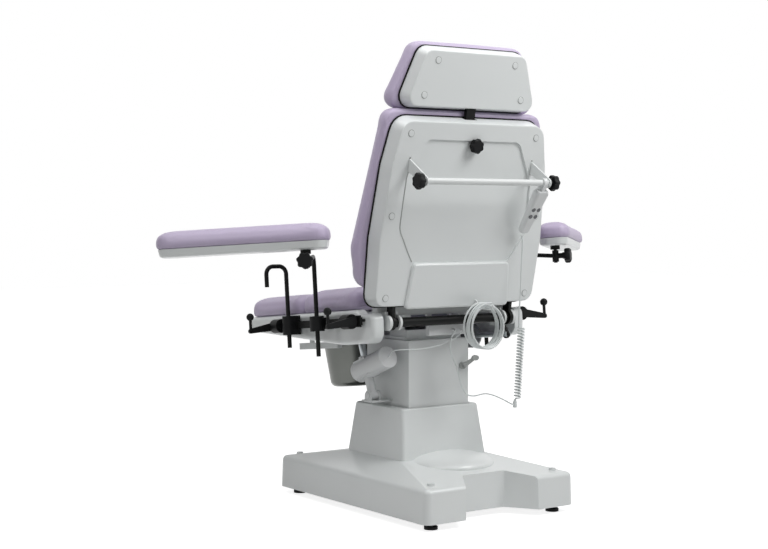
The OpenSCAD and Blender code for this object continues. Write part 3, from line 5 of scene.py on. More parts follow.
import bpy
import bmesh
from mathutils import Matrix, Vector


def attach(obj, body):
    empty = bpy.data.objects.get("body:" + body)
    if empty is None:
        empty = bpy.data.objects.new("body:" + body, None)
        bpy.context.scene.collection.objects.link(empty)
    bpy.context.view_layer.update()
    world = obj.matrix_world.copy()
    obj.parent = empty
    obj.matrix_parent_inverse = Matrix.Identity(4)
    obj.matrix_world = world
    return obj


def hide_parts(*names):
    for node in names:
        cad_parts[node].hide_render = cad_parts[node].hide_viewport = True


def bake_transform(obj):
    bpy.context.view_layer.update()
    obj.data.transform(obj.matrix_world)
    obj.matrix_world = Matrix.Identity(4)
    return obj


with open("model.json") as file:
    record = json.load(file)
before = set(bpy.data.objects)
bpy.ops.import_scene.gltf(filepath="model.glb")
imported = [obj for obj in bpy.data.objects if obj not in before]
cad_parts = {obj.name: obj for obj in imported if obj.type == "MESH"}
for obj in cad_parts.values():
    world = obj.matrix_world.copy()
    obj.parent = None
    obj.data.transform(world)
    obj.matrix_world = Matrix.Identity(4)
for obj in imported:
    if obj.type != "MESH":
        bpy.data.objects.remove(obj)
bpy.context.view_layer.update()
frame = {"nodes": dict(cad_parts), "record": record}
scene = bpy.context.scene
nodeObjects = frame["nodes"]
nodeBody = {n: b for b, members in frame["record"]["behaviour"]["bodies"].items() for n in members}
nodeSlot = {s["node"]: s["material_slot"] for s in frame["record"]["subparts"]}
print("frame loaded:", len(nodeObjects), "nodes")

millimetre = 0.001
mergeDistance = 0.00002  # points closer than this are one
smoothFactor = 0.5
baseShift = 0.09375  # the CAD source's base centre lies this far behind the row frame's origin


# Camera and cords first

cameraSettings = {
    "place": (2.929, 3.915 + baseShift, 0.936),
    "turn": 144.65,
    "pitch": -2.29,
    "lens": 70.64,
    "sensor": 36.0,
}


def makeCamera(s):
    data = bpy.data.cameras.new("camera")
    data.lens = s["lens"]
    data.sensor_width = s["sensor"]
    data.sensor_fit = "HORIZONTAL"
    cam = bpy.data.objects.new("camera", data)
    cam.location = s["place"]
    cam.rotation_euler = (math.radians(90 + s["pitch"]), 0, math.radians(s["turn"]))
    scene.collection.objects.link(cam)
    scene.camera = cam


makeCamera(cameraSettings)

cordSettings = {
    "handset": {
        "points": [
            (-222, 232, 868), (-221, 240, 845), (-218, 238, 760), (-217, 236, 690), (-213, 235, 630),
            (-212, 235, 584.8),
        ],
        "radius": 2.4,
        "steps": 6,
    },
    "lead": {
        "points": [
            (-196, 235, 326), (-181, 234, 330), (-139, 225, 352), (-98, 210, 366), (-58, 195, 360),
            (-37, 184, 368), (-22, 176, 400), (-14, 168, 446), (6, 160, 502), (2, 156, 540), (-16, 152, 564),
            (-20, 144, 570), (-20, 135.2, 570.4),
        ],
        "radius": 2.4,
        "steps": 6,
    },
    "wire": {
        "points": [
            (175, 53.4, 486.6), (176, 64, 491), (188, 92, 503), (196, 118, 512), (153, 132, 514),
            (107, 134, 513), (40, 142, 522), (-20, 152, 544), (-44, 150, 564), (-46, 144, 569),
            (-46, 135.3, 569.4),
        ],
        "radius": 1.6,
        "steps": 6,
    },
    "curl": {
        "top": (-222, 235, 574), "low": (-206, 235, 346), "curls": 24, "rings": 16, "reach": 10, "lead": 5,
        "radius": 2.4,
    },
    "coil": {
        "centre": (-68, 236, 583), "loops": 6, "rings": 36, "reach": (69, 64), "sway": 3, "swayTurn": 137,
        "pitch": 8, "radius": 3.2,
    },
}


def rowPoint(p):
    return Vector((p[0] * millimetre, p[1] * millimetre + baseShift, p[2] * millimetre))


def curveThrough(points, steps):
    # the same smooth curve through listed points as in the CAD source
    line = []
    for i in range(len(points) - 1):
        a, b = points[max(i - 1, 0)], points[i]
        c, d = points[i + 1], points[min(i + 2, len(points) - 1)]
        for k in range(steps):
            t = k / steps
            square, cube = 2 * a - 5 * b + 4 * c - d, 3 * b - a - 3 * c + d
            line.append((2 * b + (c - a) * t + square * t * t + cube * t**3) / 2)
    return line + [points[-1]]


def curlLine(s):
    top, low = Vector(s["top"]), Vector(s["low"])
    along = (low - top).normalized()
    side = Vector((1, 0, 0))
    side = (side - side.dot(along) * along).normalized()
    across = along.cross(side)
    count = s["curls"] * s["rings"]

    def at(k):
        a = 2 * math.pi * k / s["rings"]
        return top + (low - top) * k / count + s["reach"] * (math.cos(a) * side + math.sin(a) * across)

    first, last = at(0), at(count)
    lead = s["lead"]
    line = [first - 2 * lead * along, first - lead * along] + [at(k) for k in range(1, count)]
    return [rowPoint(p) for p in line + [last + lead * along, last + 2 * lead * along]]


def coilLine(s):
    centre = Vector(s["centre"])
    count = s["loops"] * s["rings"]

    def at(k):
        turn = k / s["rings"]
        a = math.radians(90 + 360 * turn)
        sway = s["sway"] * math.sin(math.radians(s["swayTurn"] * turn))
        return centre + Vector((
            (s["reach"][1] + sway) * math.cos(a),
            s["pitch"] * (turn - s["loops"] / 2),
            (s["reach"][0] + sway) * math.sin(a) + sway,
        ))

    p = [at(k) for k in range(count + 1)]
    lead = Vector((s["radius"] * 3, 0, 0))
    start, end = [p[0] + lead, p[0] + lead / 2], [p[count] - lead / 2, p[count] - lead]
    return [rowPoint(q) for q in start + p[1:count] + end]


def evaluatedMesh(obj):
    bpy.context.view_layer.update()
    return bpy.data.meshes.new_from_object(obj.evaluated_get(bpy.context.evaluated_depsgraph_get()))


def newPiece(name, mesh):
    piece = bpy.data.objects.new(name, mesh)
    scene.collection.objects.link(piece)
    return piece


def finishedMesh(bm, name):
    mesh = bpy.data.meshes.new(name)
    bm.to_mesh(mesh)
    bm.free()
    return mesh


def smoothFaces(mesh):
    for polygon in mesh.polygons:
        polygon.use_smooth = True


def tubePiece(name, line, radius):
    # a curve with a round bevel, turned into a mesh
    curve = bpy.data.curves.new(name, "CURVE")
    curve.dimensions = "3D"
    curve.bevel_depth = radius * millimetre
    curve.bevel_resolution = 3
    curve.use_fill_caps = True
    spline = curve.splines.new("POLY")
    spline.points.add(len(line) - 1)
    for point, place in zip(spline.points, line):
        point.co = (*place, 1)
    temporary = newPiece(name + "Line", curve)
    mesh = evaluatedMesh(temporary)
    bpy.data.objects.remove(temporary)
    mesh.name = name
    mesh.materials.clear()
    smoothFaces(mesh)
    return newPiece(name, mesh)


def cordPiece(name, line, radius, body, node):
    piece = tubePiece(name, line, radius)
    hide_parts(node)
    if body:
        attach(piece, body)
    return piece


def mergedCopy(node, name):
    # a CAD node's triangles, joined at their edges, as the start of a finer piece
    bm = bmesh.new()
    bm.from_mesh(nodeObjects[node].data)
    bmesh.ops.remove_doubles(bm, verts=bm.verts, dist=mergeDistance)
    return newPiece(name, finishedMesh(bm, name))


def settledCurve(s):
    return curveThrough([rowPoint(p) for p in s["points"]], s["steps"])


handsetLine = settledCurve(cordSettings["handset"])
handsetRadius = cordSettings["handset"]["radius"]
handsetCord = cordPiece("handsetCord", handsetLine, handsetRadius, "back", "handset_cord")
curlyLine = curlLine(cordSettings["curl"])
curlyCord = cordPiece("curlyCord", curlyLine, cordSettings["curl"]["radius"], None, "curly_cord")
leadLine = settledCurve(cordSettings["lead"])
leadCord = cordPiece("leadCord", leadLine, cordSettings["lead"]["radius"], "seat", "lead_cord")
wireLine = settledCurve(cordSettings["wire"])
motorWire = cordPiece("motorWire", wireLine, cordSettings["wire"]["radius"], None, "motor_wire")
coiledLine = coilLine(cordSettings["coil"])
cordCoil = cordPiece("cordCoil", coiledLine, cordSettings["coil"]["radius"], "back", "cord_coil")
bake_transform(curlyCord)
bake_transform(motorWire)

jointSettings = {
    "centre": (-196, 235, 327), "radius": 6.5, "length": 20, "neck": 4.2, "neckLength": 7, "segments": 24,
    "round": 1.2, "sharp": 0.8,
}


def cordJoint(s):
    # moulded sleeve where the curly cord meets its lead
    bm = bmesh.new()
    bmesh.ops.create_cone(
        bm, cap_ends=True, segments=s["segments"], radius1=s["radius"] * millimetre,
        radius2=s["radius"] * millimetre, depth=s["length"] * millimetre,
    )
    top = [f for f in bm.faces if f.normal.z > 0.9]
    bmesh.ops.inset_region(bm, faces=top, thickness=(s["radius"] - s["neck"]) * millimetre)
    out = bmesh.ops.extrude_face_region(bm, geom=top)
    raised = [v for v in out["geom"] if isinstance(v, bmesh.types.BMVert)]
    bmesh.ops.translate(bm, vec=(0, 0, s["neckLength"] * millimetre), verts=raised)
    bmesh.ops.delete(bm, geom=top, context="FACES")
    rims = [e for e in bm.edges if len(e.link_faces) == 2 and e.calc_face_angle() > s["sharp"]]
    bmesh.ops.bevel(
        bm, geom=rims, offset=s["round"] * millimetre, segments=3, profile=0.5, affect="EDGES", material=-1,
    )
    bmesh.ops.translate(bm, vec=rowPoint(s["centre"]), verts=bm.verts)
    mesh = finishedMesh(bm, "cordJoint")
    smoothFaces(mesh)
    piece = newPiece("cordJoint", mesh)
    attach(piece, "seat")
    return piece


jointSleeve = cordJoint(jointSettings)
print("camera and cords made")


# Materials

def hexColour(code):
    # sRGB hex to the linear values that shaders use
    values = [int(code[i:i + 2], 16) / 255 for i in (1, 3, 5)]
    return [v / 12.92 if v <= 0.04045 else ((v + 0.055) / 1.055) ** 2.4 for v in values] + [1]


def addNode(tree, kind, settings=None, links=None):
    # one node, its plain values, and the sockets that feed it
    made = tree.nodes.new(kind)
    for key, value in (settings or {}).items():
        if isinstance(key, int) or key in made.inputs:
            made.inputs[key].default_value = value
        else:
            setattr(made, key, value)
    for key, source in (links or {}).items():
        tree.links.new(source, made.inputs[key])
    return made


def surface(name, base, second, s):
    # a smooth finish with a slow change of colour, uneven gloss and a fine bump
    material = bpy.data.materials.new(name)
    material.use_nodes = True
    tree = material.node_tree
    shader = tree.nodes["Principled BSDF"]
    place = addNode(tree, "ShaderNodeTexCoord").outputs["Object"]
    cloud = addNode(tree, "ShaderNodeTexNoise", {"Scale": s["cloudScale"], "Detail": 3.0}, {"Vector": place})
    mixed = addNode(tree, "ShaderNodeMix", {"data_type": "RGBA"}, {0: cloud.outputs["Fac"]})
    mixed.inputs[6].default_value = hexColour(base)
    mixed.inputs[7].default_value = hexColour(second)
    tree.links.new(mixed.outputs[2], shader.inputs["Base Color"])
    span = {"To Min": s["roughness"][0], "To Max": s["roughness"][1]}
    gloss = addNode(tree, "ShaderNodeMapRange", span, {"Value": cloud.outputs["Fac"]})
    tree.links.new(gloss.outputs["Result"], shader.inputs["Roughness"])
    grain = addNode(tree, "ShaderNodeTexNoise", {"Scale": s["grainScale"], "Detail": 2.0}, {"Vector": place})
    depth = {"Strength": s["bump"], "Distance": s["bumpDepth"]}
    bump = addNode(tree, "ShaderNodeBump", depth, {"Height": grain.outputs["Fac"]})
    tree.links.new(bump.outputs["Normal"], shader.inputs["Normal"])
    for key, value in s["shader"].items():
        shader.inputs[key].default_value = value
    return material


# pigmented polyester gelcoat out of a polished mould: smooth, glossy, a faint long ripple
gelcoat = surface("polyesterGelcoat", "#DDE1E1", "#E4E7E6", {
    "cloudScale": 2.2, "roughness": (0.26, 0.36), "grainScale": 55.0, "bump": 0.05, "bumpDepth": 0.002,
    "shader": {"IOR": 1.5, "Coat Weight": 0.25, "Coat Roughness": 0.12},
})
# white polyester powder coat: orange peel about 3 mm across, softer gloss
whitePowder = surface("whitePowderCoat", "#D9DCDC", "#E0E3E2", {
    "cloudScale": 4.0, "roughness": (0.36, 0.46), "grainScale": 320.0, "bump": 0.12, "bumpDepth": 0.0006,
    "shader": {"IOR": 1.5},
})
# black powder coat: fine orange peel that breaks up its highlights
blackPowder = surface("blackPowderCoat", "#111212", "#181918", {
    "cloudScale": 6.0, "roughness": (0.34, 0.46), "grainScale": 420.0, "bump": 0.15, "bumpDepth": 0.0005,
    "shader": {"IOR": 1.5, "Specular IOR Level": 0.12},
})
# glass-filled nylon from a spark-eroded mould: matt with a grit of about 2 mm
blackNylon = surface("mouldedNylon", "#0E0F10", "#141516", {
    "cloudScale": 9.0, "roughness": (0.42, 0.56), "grainScale": 500.0, "bump": 0.25, "bumpDepth": 0.0005,
    "shader": {"IOR": 1.53, "Specular IOR Level": 0.12},
})
# dark grey ABS of the back motor's housing
greyAbs = surface("greyAbs", "#43464A", "#4C4F53", {
    "cloudScale": 7.0, "roughness": (0.4, 0.5), "grainScale": 380.0, "bump": 0.16, "bumpDepth": 0.0005,
    "shader": {"IOR": 1.54},
})
# white ABS of the handset, box and tilt motor: satin
whiteAbs = surface("whiteAbs", "#D8DADB", "#E0E2E2", {
    "cloudScale": 8.0, "roughness": (0.34, 0.44), "grainScale": 360.0, "bump": 0.1, "bumpDepth": 0.0005,
    "shader": {"IOR": 1.54},
})
# light grey nylon of the column's lock lever
greyNylon = surface("greyNylon", "#9DA09E", "#A7AAA8", {
    "cloudScale": 9.0, "roughness": (0.4, 0.52), "grainScale": 460.0, "bump": 0.2, "bumpDepth": 0.0005,
    "shader": {"IOR": 1.53},
})
# plasticised PVC cable jacket, extruded: soft sheen
cableJacket = surface("pvcCable", "#D3D8D8", "#DDE1E0", {
    "cloudScale": 12.0, "roughness": (0.36, 0.46), "grainScale": 200.0, "bump": 0.05, "bumpDepth": 0.0003,
    "shader": {"IOR": 1.53},
})


def metal(name, base, second, s):
    # a metal with drawn or brushed streaks along one direction
    material = surface(name, base, second, s)
    tree = material.node_tree
    shader = tree.nodes["Principled BSDF"]
    place = next(n for n in tree.nodes if n.type == "TEX_COORD").outputs["Object"]
    stretched = addNode(tree, "ShaderNodeMapping", {"Scale": s["streak"]}, {"Vector": place})
    drawn = {"Vector": stretched.outputs["Vector"]}
    streaks = addNode(tree, "ShaderNodeTexNoise", {"Scale": 1.0, "Detail": 4.0}, drawn)
    span = {"To Min": s["roughness"][0], "To Max": s["roughness"][1]}
    brushed = addNode(tree, "ShaderNodeMapRange", span, {"Value": streaks.outputs["Fac"]})
    tree.links.new(brushed.outputs["Result"], shader.inputs["Roughness"])
    shader.inputs["Metallic"].default_value = 1.0
    return material


# bright zinc plate over drawn steel: bluish grey, streaked lengthways
zincSteel = metal("zincPlatedSteel", "#A9AFB2", "#B7BCBE", {
    "cloudScale": 18.0, "roughness": (0.28, 0.44), "grainScale": 240.0, "bump": 0.06, "bumpDepth": 0.0004,
    "streak": (400.0, 400.0, 14.0), "shader": {},
})
# spun and polished stainless steel: rings of fine spinning marks about 1 mm apart; its dark grey colour is
# painted reflection of dark surroundings, far darker than bare steel
stainless = metal("spunStainless", "#5C5E5B", "#686A67", {
    "cloudScale": 10.0, "roughness": (0.24, 0.38), "grainScale": 120.0, "bump": 0.03, "bumpDepth": 0.0003,
    "streak": (12.0, 12.0, 900.0), "shader": {},
})


def vinyl(name, base, second, s):
    # PVC-coated upholstery fabric: a pebbled leather emboss whose valleys are darkened as painted shade,
    # slack folds that barely show, a dry sheen
    material = bpy.data.materials.new(name)
    material.use_nodes = True
    tree = material.node_tree
    shader = tree.nodes["Principled BSDF"]
    place = addNode(tree, "ShaderNodeTexCoord").outputs["Object"]
    cloud = addNode(tree, "ShaderNodeTexNoise", {"Scale": s["cloudScale"], "Detail": 3.0}, {"Vector": place})
    mixed = addNode(tree, "ShaderNodeMix", {"data_type": "RGBA"}, {0: cloud.outputs["Fac"]})
    mixed.inputs[6].default_value = hexColour(base)
    mixed.inputs[7].default_value = hexColour(second)
    cells = {"Scale": 1 / (s["pebble"] * millimetre), "feature": "DISTANCE_TO_EDGE"}
    pebbles = addNode(tree, "ShaderNodeTexVoronoi", cells, {"Vector": place})
    rise = {"From Max": s["valleyWidth"], "To Min": s["valleyHeightAndShade"], "To Max": 1.0}
    valleyHeightAndShade = addNode(tree, "ShaderNodeMapRange", rise, {"Value": pebbles.outputs["Distance"]})
    # the emboss valleys darken the colour: painted shade in the grain, and the same values give the emboss
    # its height
    shaded = addNode(tree, "ShaderNodeMix", {"data_type": "RGBA", "blend_type": "MULTIPLY", 0: 1.0})
    tree.links.new(mixed.outputs[2], shaded.inputs[6])
    tree.links.new(valleyHeightAndShade.outputs["Result"], shaded.inputs[7])
    tree.links.new(shaded.outputs[2], shader.inputs["Base Color"])
    slack = addNode(tree, "ShaderNodeTexNoise", {"Scale": s["slackScale"], "Detail": 2.0}, {"Vector": place})
    sag = {"Strength": s["slack"], "Distance": s["slackDepth"]}
    folds = addNode(tree, "ShaderNodeBump", sag, {"Height": slack.outputs["Fac"]})
    bump = addNode(
        tree, "ShaderNodeBump", {"Strength": s["emboss"], "Distance": s["embossDepth"]},
        {"Height": valleyHeightAndShade.outputs["Result"], "Normal": folds.outputs["Normal"]},
    )
    tree.links.new(bump.outputs["Normal"], shader.inputs["Normal"])
    span = {"To Min": s["roughness"][0], "To Max": s["roughness"][1]}
    gloss = addNode(tree, "ShaderNodeMapRange", span, {"Value": cloud.outputs["Fac"]})
    tree.links.new(gloss.outputs["Result"], shader.inputs["Roughness"])
    for key, value in s["shader"].items():
        shader.inputs[key].default_value = value
    return material


# the emboss is about 1 mm in life; 2.4 mm is the finest that shows
lilacVinyl = vinyl("lilacVinyl", "#BDAFCC", "#C5B9D2", {
    "cloudScale": 3.0, "roughness": (0.42, 0.52), "pebble": 2.4, "valleyHeightAndShade": 0.93, "valleyWidth": 0.25,
    "slackScale": 9.0, "slack": 0.06, "slackDepth": 0.01, "emboss": 0.18, "embossDepth": 0.0006,
    "shader": {"IOR": 1.53, "Sheen Weight": 0.15, "Sheen Roughness": 0.4},
})

slotMaterials = {
    "gelcoat": gelcoat,
    "white_paint": whitePowder,
    "upholstery": lilacVinyl,
    "black_paint": blackPowder,
    "black_plastic": blackNylon,
    "zinc_steel": zincSteel,
    "stainless": stainless,
    "grey_plastic": greyAbs,
    "white_plastic": whiteAbs,
    "cable": cableJacket,
}


def dress(obj, material):
    obj.data.materials.clear()
    obj.data.materials.append(material)


for name, obj in nodeObjects.items():
    if obj.material_slots:
        for holder in obj.material_slots:
            holder.material = slotMaterials[nodeSlot[name]]
    else:
        obj.data.materials.append(slotMaterials[nodeSlot[name]])
for piece in (handsetCord, curlyCord, leadCord, motorWire, cordCoil, jointSleeve):
    dress(piece, cableJacket)
print("materials made")


# Moulded shells: the CAD form with rounded edges and smooth faces

flatAngle = 0.6  # degrees
shellSettings = {
    "base_shell": {"round": 1.2, "angle": 32},
    "seat_casing": {"round": 1.2, "angle": 32},
    "back_shell": {"round": 2.2, "angle": 30},
    "head_shell": {"round": 1.2, "angle": 32},
    "arm_shell_left": {"round": 1.0, "angle": 32},
    "arm_shell_right": {"round": 1.0, "angle": 32},
    "column_shroud": {"round": 2.0, "angle": 32},
    "tilt_motor": {"round": 1.5, "angle": 40},
    "handset": {"round": 0.8, "angle": 35},
    "roll_bar": {"round": 0.6, "angle": 35},
    "junction_box": {"round": 1.5, "angle": 40},
    "tilt_yoke": {"round": 0.8, "angle": 40},
    "rod_clamps": {"round": 1.2, "angle": 40},
    "back_motor": {"round": 1.5, "angle": 35},
    "arm_knob_left": {"round": 1.0, "angle": 35},
    "arm_knob_right": {"round": 1.0, "angle": 35},
    "bar_knob_left": {"round": 1.0, "angle": 35},
    "bar_knob_right": {"round": 1.0, "angle": 35},
    "head_knob": {"round": 1.0, "angle": 35},
    "front_lever_left": {"round": 1.0, "angle": 40},
    "front_lever_right": {"round": 1.0, "angle": 40},
    "rear_lever_left": {"round": 1.0, "angle": 40},
    "rear_lever_right": {"round": 1.0, "angle": 40},
    "lock_lever": {"round": 0.8, "angle": 40},
}


backPlane = {"y": 184, "z": 680, "lean": 10.3}


def backPoint(x, n, s):
    lean = math.radians(backPlane["lean"])
    return rowPoint((
        x, backPlane["y"] + n * math.cos(lean) + s * math.sin(lean),
        backPlane["z"] - n * math.sin(lean) + s * math.cos(lean),
    ))


def finishedShell(node, s):
    # flat faces are joined first, so that the bevel meets whole edges and the normals stay even
    piece = mergedCopy(node, "finished_" + node)
    bm = bmesh.new()
    bm.from_mesh(piece.data)
    bmesh.ops.dissolve_limit(bm, angle_limit=math.radians(flatAngle), verts=bm.verts, edges=bm.edges)
    bm.to_mesh(piece.data)
    bm.free()
    smoothFaces(piece.data)
    rounded = piece.modifiers.new("rounded", "BEVEL")
    rounded.width = s["round"] * millimetre
    rounded.segments = 2
    rounded.limit_method = "ANGLE"
    rounded.angle_limit = math.radians(s["angle"])
    evened = piece.modifiers.new("evened", "WEIGHTED_NORMAL")
    evened.mode = "FACE_AREA"
    evened.weight = 100
    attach(piece, nodeBody[node])
    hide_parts(node)
    dress(piece, greyNylon if node == "lock_lever" else slotMaterials[nodeSlot[node]])
    return piece


for node, s in shellSettings.items():
    finishedShell(node, s)
print("moulded shells rounded")


# Grey rings round the screw caps of the two moulded backs: painted shade for the shadow ring round each cap
# in its counterbore

capSettings = {
    "back_shell": {"at": [(277, 0), (286, 254), (246, 506)], "face": 0},
    "head_shell": {"at": [(151, 727), (190, 620)], "face": -31},
}
capShadeRingSettings = {"inner": 9.8, "outer": 11.4, "under": -0.6, "over": 0.6, "steps": 32}


def capShadeRings(node, s, w):
    bm = bmesh.new()
    axis = (backPoint(0, 1, 0) - backPoint(0, 0, 0)).normalized()
    for x, up in [(side * x, up) for x, up in s["at"] for side in (-1, 1)]:
        profile = [
            (w["inner"], w["under"]), (w["inner"], w["over"]),
            (w["outer"], w["over"]), (w["outer"], w["under"]),
        ]
        ring = [bm.verts.new(backPoint(x + reach, s["face"] + n, up)) for reach, n in profile]
        edges = [bm.edges.new((ring[i], ring[(i + 1) % 4])) for i in range(4)]
        bmesh.ops.spin(
            bm, geom=ring + edges, cent=backPoint(x, s["face"], up), axis=axis, angle=2 * math.pi,
            steps=w["steps"],
        )
    bmesh.ops.remove_doubles(bm, verts=bm.verts, dist=mergeDistance)
    bmesh.ops.recalc_face_normals(bm, faces=bm.faces)
    piece = newPiece("capShadeRings_" + node, finishedMesh(bm, "capShadeRings_" + node))
    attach(piece, nodeBody[node])
    # the grey of these rings is painted shade round each cap, not a part of its own
    dress(piece, greyNylon)
    return piece


for node, s in capSettings.items():
    capShadeRings(node, s, capShadeRingSettings)
print("cap washers made")


# Grey sealing bead down the left side of the back's recess

beadSettings = {
    "points": [
        (236, 408), (245, 376), (247, 350), (251, 250), (251, 222), (246, 202), (232, 178), (212, 142),
        (193, 112),
    ],
    "out": 0.2, "radius": 1.7, "steps": 6,
}


def sealingBead(b):
    line = curveThrough([backPoint(x, b["out"], s) for x, s in b["points"]], b["steps"])
    piece = tubePiece("sealingBead", line, b["radius"])
    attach(piece, nodeBody["back_shell"])
    dress(piece, greyNylon)
    return piece


sealingBead(beadSettings)
print("sealing bead made")


# Black boards behind the two upper cushions: painted shade, a dark line that stands for the shadowed gap
# between each cushion and its shell

boardSettings = {"nodes": ["back_shell", "head_shell"], "grow": 4.0, "front": 0.3, "thick": 3.0, "rim": 1.0}


def gapShadeBoard(node, b):
    origin = backPoint(0, 0, 0)
    outward = (backPoint(0, 1, 0) - origin).normalized()
    upward = (backPoint(0, 0, 1) - origin).normalized()
    points = [v.co for v in nodeObjects[node].data.vertices]
    depths = [(p - origin).dot(outward) for p in points]
    rim = [p for p, n in zip(points, depths) if n < min(depths) + b["rim"] * millimetre]
    middle = sum(rim, Vector()) / len(rim)
    bm = bmesh.new()
    for p in rim:
        away = p - middle
        away -= away.dot(outward) * outward
        place = middle + away + away.normalized() * b["grow"] * millimetre
        for n in (-b["front"], b["thick"] - b["front"]):
            bm.verts.new(place + n * millimetre * outward)
    made = bmesh.ops.convex_hull(bm, input=bm.verts)
    spare = {v for v in made["geom_interior"] + made["geom_unused"] if isinstance(v, bmesh.types.BMVert)}
    bmesh.ops.delete(bm, geom=list(spare), context="VERTS")
    bmesh.ops.recalc_face_normals(bm, faces=bm.faces)
    piece = newPiece("gapShadeBoard_" + node, finishedMesh(bm, "gapShadeBoard_" + node))
    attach(piece, nodeBody[node])
    # black so that its edge shows as painted shade in the gap beside the shell
    dress(piece, blackNylon)
    return piece


for node in boardSettings["nodes"]:
    gapShadeBoard(node, boardSettings)
print("backing boards made")


# Cushions

cushionSettings = {
    "seat_cushion": {"voxel": 5.0, "shrink": 1.5, "cap": 2.5, "pressure": 4.0},
    "front_cushion": {"voxel": 5.0, "shrink": 1.5, "cap": 2.5, "pressure": 4.0},
    "back_cushion": {"voxel": 5.5, "shrink": 2.0, "cap": 3.5, "pressure": 4.0},
    "head_cushion": {"voxel": 5.0, "shrink": 1.5, "cap": 2.5, "pressure": 4.0},
    "arm_cushion_left": {"voxel": 5.0, "shrink": 1.0, "cap": 2.0, "pressure": 4.0},
    "arm_cushion_right": {"voxel": 5.0, "shrink": 1.0, "cap": 2.0, "pressure": 4.0},
}


# the foam under each cover, and how the cover is blown out against it
coverSettings = {
    "smoothTurns": 2, "held": 1.6, "frames": 14, "quality": 5, "mass": 0.4, "stiffness": 18,
    "bending": 2.0,
}
# the two upper cushions close the gap under the headrest: from this height on, each edge goes this far
stretchSettings = {
    "head_cushion": {"from": 690, "to": 574, "by": -8},
    "back_cushion": {"from": 430, "to": 569, "by": 7},
}


def smoothOnce(bm):
    bmesh.ops.smooth_vert(
        bm, verts=bm.verts, factor=smoothFactor, use_axis_x=True, use_axis_y=True, use_axis_z=True,
    )


def stretchCushion(bm, s):
    origin = backPoint(0, 0, 0)
    upward = (backPoint(0, 0, 1) - origin).normalized()
    for v in bm.verts:
        height = (v.co - origin).dot(upward) / millimetre
        share = min(max((height - s["from"]) / (s["to"] - s["from"]), 0), 1)
        v.co += upward * share * s["by"] * millimetre


def seatNormal(node):
    # the way a cushion's flat back faces, read from the largest flat area of its solid
    best = {}
    for polygon in nodeObjects[node].data.polygons:
        key = tuple(round(c, 2) for c in polygon.normal)
        best[key] = best.get(key, 0) + polygon.area
    return Vector(max(best, key=best.get)).normalized()


def cushionPiece(node, s):
    piece = mergedCopy(node, "padded_" + node)
    flat = seatNormal(node)
    backing = max(v.co.dot(flat) for v in piece.data.vertices)
    remesh = piece.modifiers.new("even", "REMESH")
    remesh.mode = "VOXEL"
    remesh.voxel_size = s["voxel"] * millimetre
    mesh = evaluatedMesh(piece)
    piece.modifiers.clear()
    piece.data = mesh
    bm = bmesh.new()
    bm.from_mesh(mesh)
    for turn in range(coverSettings["smoothTurns"]):
        smoothOnce(bm)
    if node in stretchSettings:
        stretchCushion(bm, stretchSettings[node])
    bm.normal_update()
    for v in bm.verts:
        depth = backing - v.co.dot(flat)
        v.co -= v.normal * s["shrink"] * millimetre
        if depth < s["voxel"] * millimetre:
            v.co += flat * (backing - depth - v.co.dot(flat))
    bm.to_mesh(mesh)
    bm.free()
    inflate(piece, flat, backing, s)
    smooth = piece.modifiers.new("smooth", "SUBSURF")
    smooth.levels = smooth.render_levels = 1
    smoothFaces(piece.data)
    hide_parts(node)
    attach(piece, nodeBody[node])
    dress(piece, lilacVinyl)
    return piece


def inflate(piece, flat, backing, s):
    # the cover is blown out against its foam, held along its flat back
    c = coverSettings
    rest = [v.co.copy() for v in piece.data.vertices]
    held = piece.vertex_groups.new(name="held")
    reach = c["held"] * s["voxel"] * millimetre
    held.add([i for i, p in enumerate(rest) if backing - p.dot(flat) < reach], 1.0, "REPLACE")
    cloth = piece.modifiers.new("cover", "CLOTH")
    cloth.settings.quality = c["quality"]
    cloth.settings.mass = c["mass"]
    cloth.settings.tension_stiffness = cloth.settings.compression_stiffness = c["stiffness"]
    cloth.settings.bending_stiffness = c["bending"]
    cloth.settings.use_pressure = True
    cloth.settings.uniform_pressure_force = s["pressure"]
    cloth.settings.effector_weights.gravity = 0
    cloth.settings.vertex_group_mass = "held"
    cloth.point_cache.frame_start = 1
    cloth.point_cache.frame_end = c["frames"]
    for count in range(1, c["frames"] + 1):
        scene.frame_set(count)
    swollen = evaluatedMesh(piece)
    moved = [v.co.copy() for v in swollen.vertices]
    piece.modifiers.clear()
    limit = s["cap"] * millimetre
    for v, start, end in zip(piece.data.vertices, rest, moved):
        step = end - start
        v.co = start + step * min(1.0, limit / max(step.length, 1e-9))
    scene.frame_set(1)
    bm = bmesh.new()
    bm.from_mesh(piece.data)
    smoothOnce(bm)
    bm.to_mesh(piece.data)
    bm.free()
    bpy.data.meshes.remove(swollen)


for node, s in cushionSettings.items():
    cushionPiece(node, s)
    print("cushion made:", node)


# Floor, lamps and world

roomSettings = {
    "floorColour": "#DCDCDC", "floorSize": 14, "floorRoughness": 0.9, "floorGlow": 0.85, "worldLight": 0.13,
    "lamps": [
        {"name": "keySoftbox", "place": (-1.2, 2.1, 3.0), "aim": (0, 0, 1.15), "size": 1.6, "power": 63},
        {"name": "fillSoftbox", "place": (2.6, 1.2, 3.4), "aim": (0, 0, 0.8), "size": 1.6, "power": 26},
        {"name": "topSoftbox", "place": (0.6, 0.2, 3.8), "aim": (0, 0, 0.5), "size": 2.4, "power": 42},
    ],
}


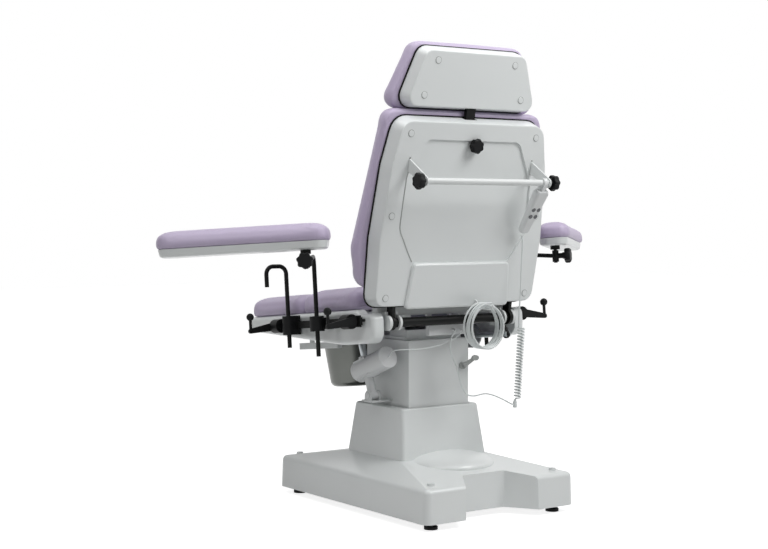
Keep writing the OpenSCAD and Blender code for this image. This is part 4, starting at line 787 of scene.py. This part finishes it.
def showsWhite(tree):
    # one where a camera, a mirror surface or glass looks at the background
    path = addNode(tree, "ShaderNodeLightPath")
    larger = {"operation": "MAXIMUM"}
    seen = {0: path.outputs["Is Camera Ray"], 1: path.outputs["Is Glossy Ray"]}
    first = addNode(tree, "ShaderNodeMath", larger, seen)
    through = {0: first.outputs[0], 1: path.outputs["Is Transmission Ray"]}
    return addNode(tree, "ShaderNodeMath", larger, through).outputs[0]


def makeRoom(s):
    bm = bmesh.new()
    bmesh.ops.create_grid(bm, x_segments=1, y_segments=1, size=s["floorSize"])
    mesh = finishedMesh(bm, "floor")
    floor = newPiece("floor", mesh)
    paint = bpy.data.materials.new("studioFloor")
    paint.use_nodes = True
    tree = paint.node_tree
    shader = tree.nodes["Principled BSDF"]
    shader.inputs["Base Color"].default_value = hexColour(s["floorColour"])
    shader.inputs["Roughness"].default_value = s["floorRoughness"]
    shader.inputs["Emission Color"].default_value = (1, 1, 1, 1)
    times = {"operation": "MULTIPLY", 1: s["floorGlow"]}
    glow = addNode(tree, "ShaderNodeMath", times, {0: showsWhite(tree)})
    tree.links.new(glow.outputs[0], shader.inputs["Emission Strength"])
    mesh.materials.append(paint)
    world = bpy.data.worlds.new("studio")
    world.use_nodes = True
    scene.world = world
    tree = world.node_tree
    background = tree.nodes["Background"]
    background.inputs["Color"].default_value = (1, 1, 1, 1)
    span = {"To Min": s["worldLight"], "To Max": 1.0}
    strength = addNode(tree, "ShaderNodeMapRange", span, {"Value": showsWhite(tree)})
    tree.links.new(strength.outputs["Result"], background.inputs["Strength"])
    for lamp in s["lamps"]:
        data = bpy.data.lights.new(lamp["name"], "AREA")
        data.size = lamp["size"]
        data.energy = lamp["power"]
        light = bpy.data.objects.new(lamp["name"], data)
        light.location = lamp["place"]
        beam = Vector(lamp["aim"]) - Vector(lamp["place"])
        light.rotation_euler = beam.to_track_quat("-Z", "Y").to_euler()
        scene.collection.objects.link(light)


makeRoom(roomSettings)
scene.view_settings.view_transform = "Standard"
print("floor and lamps made")
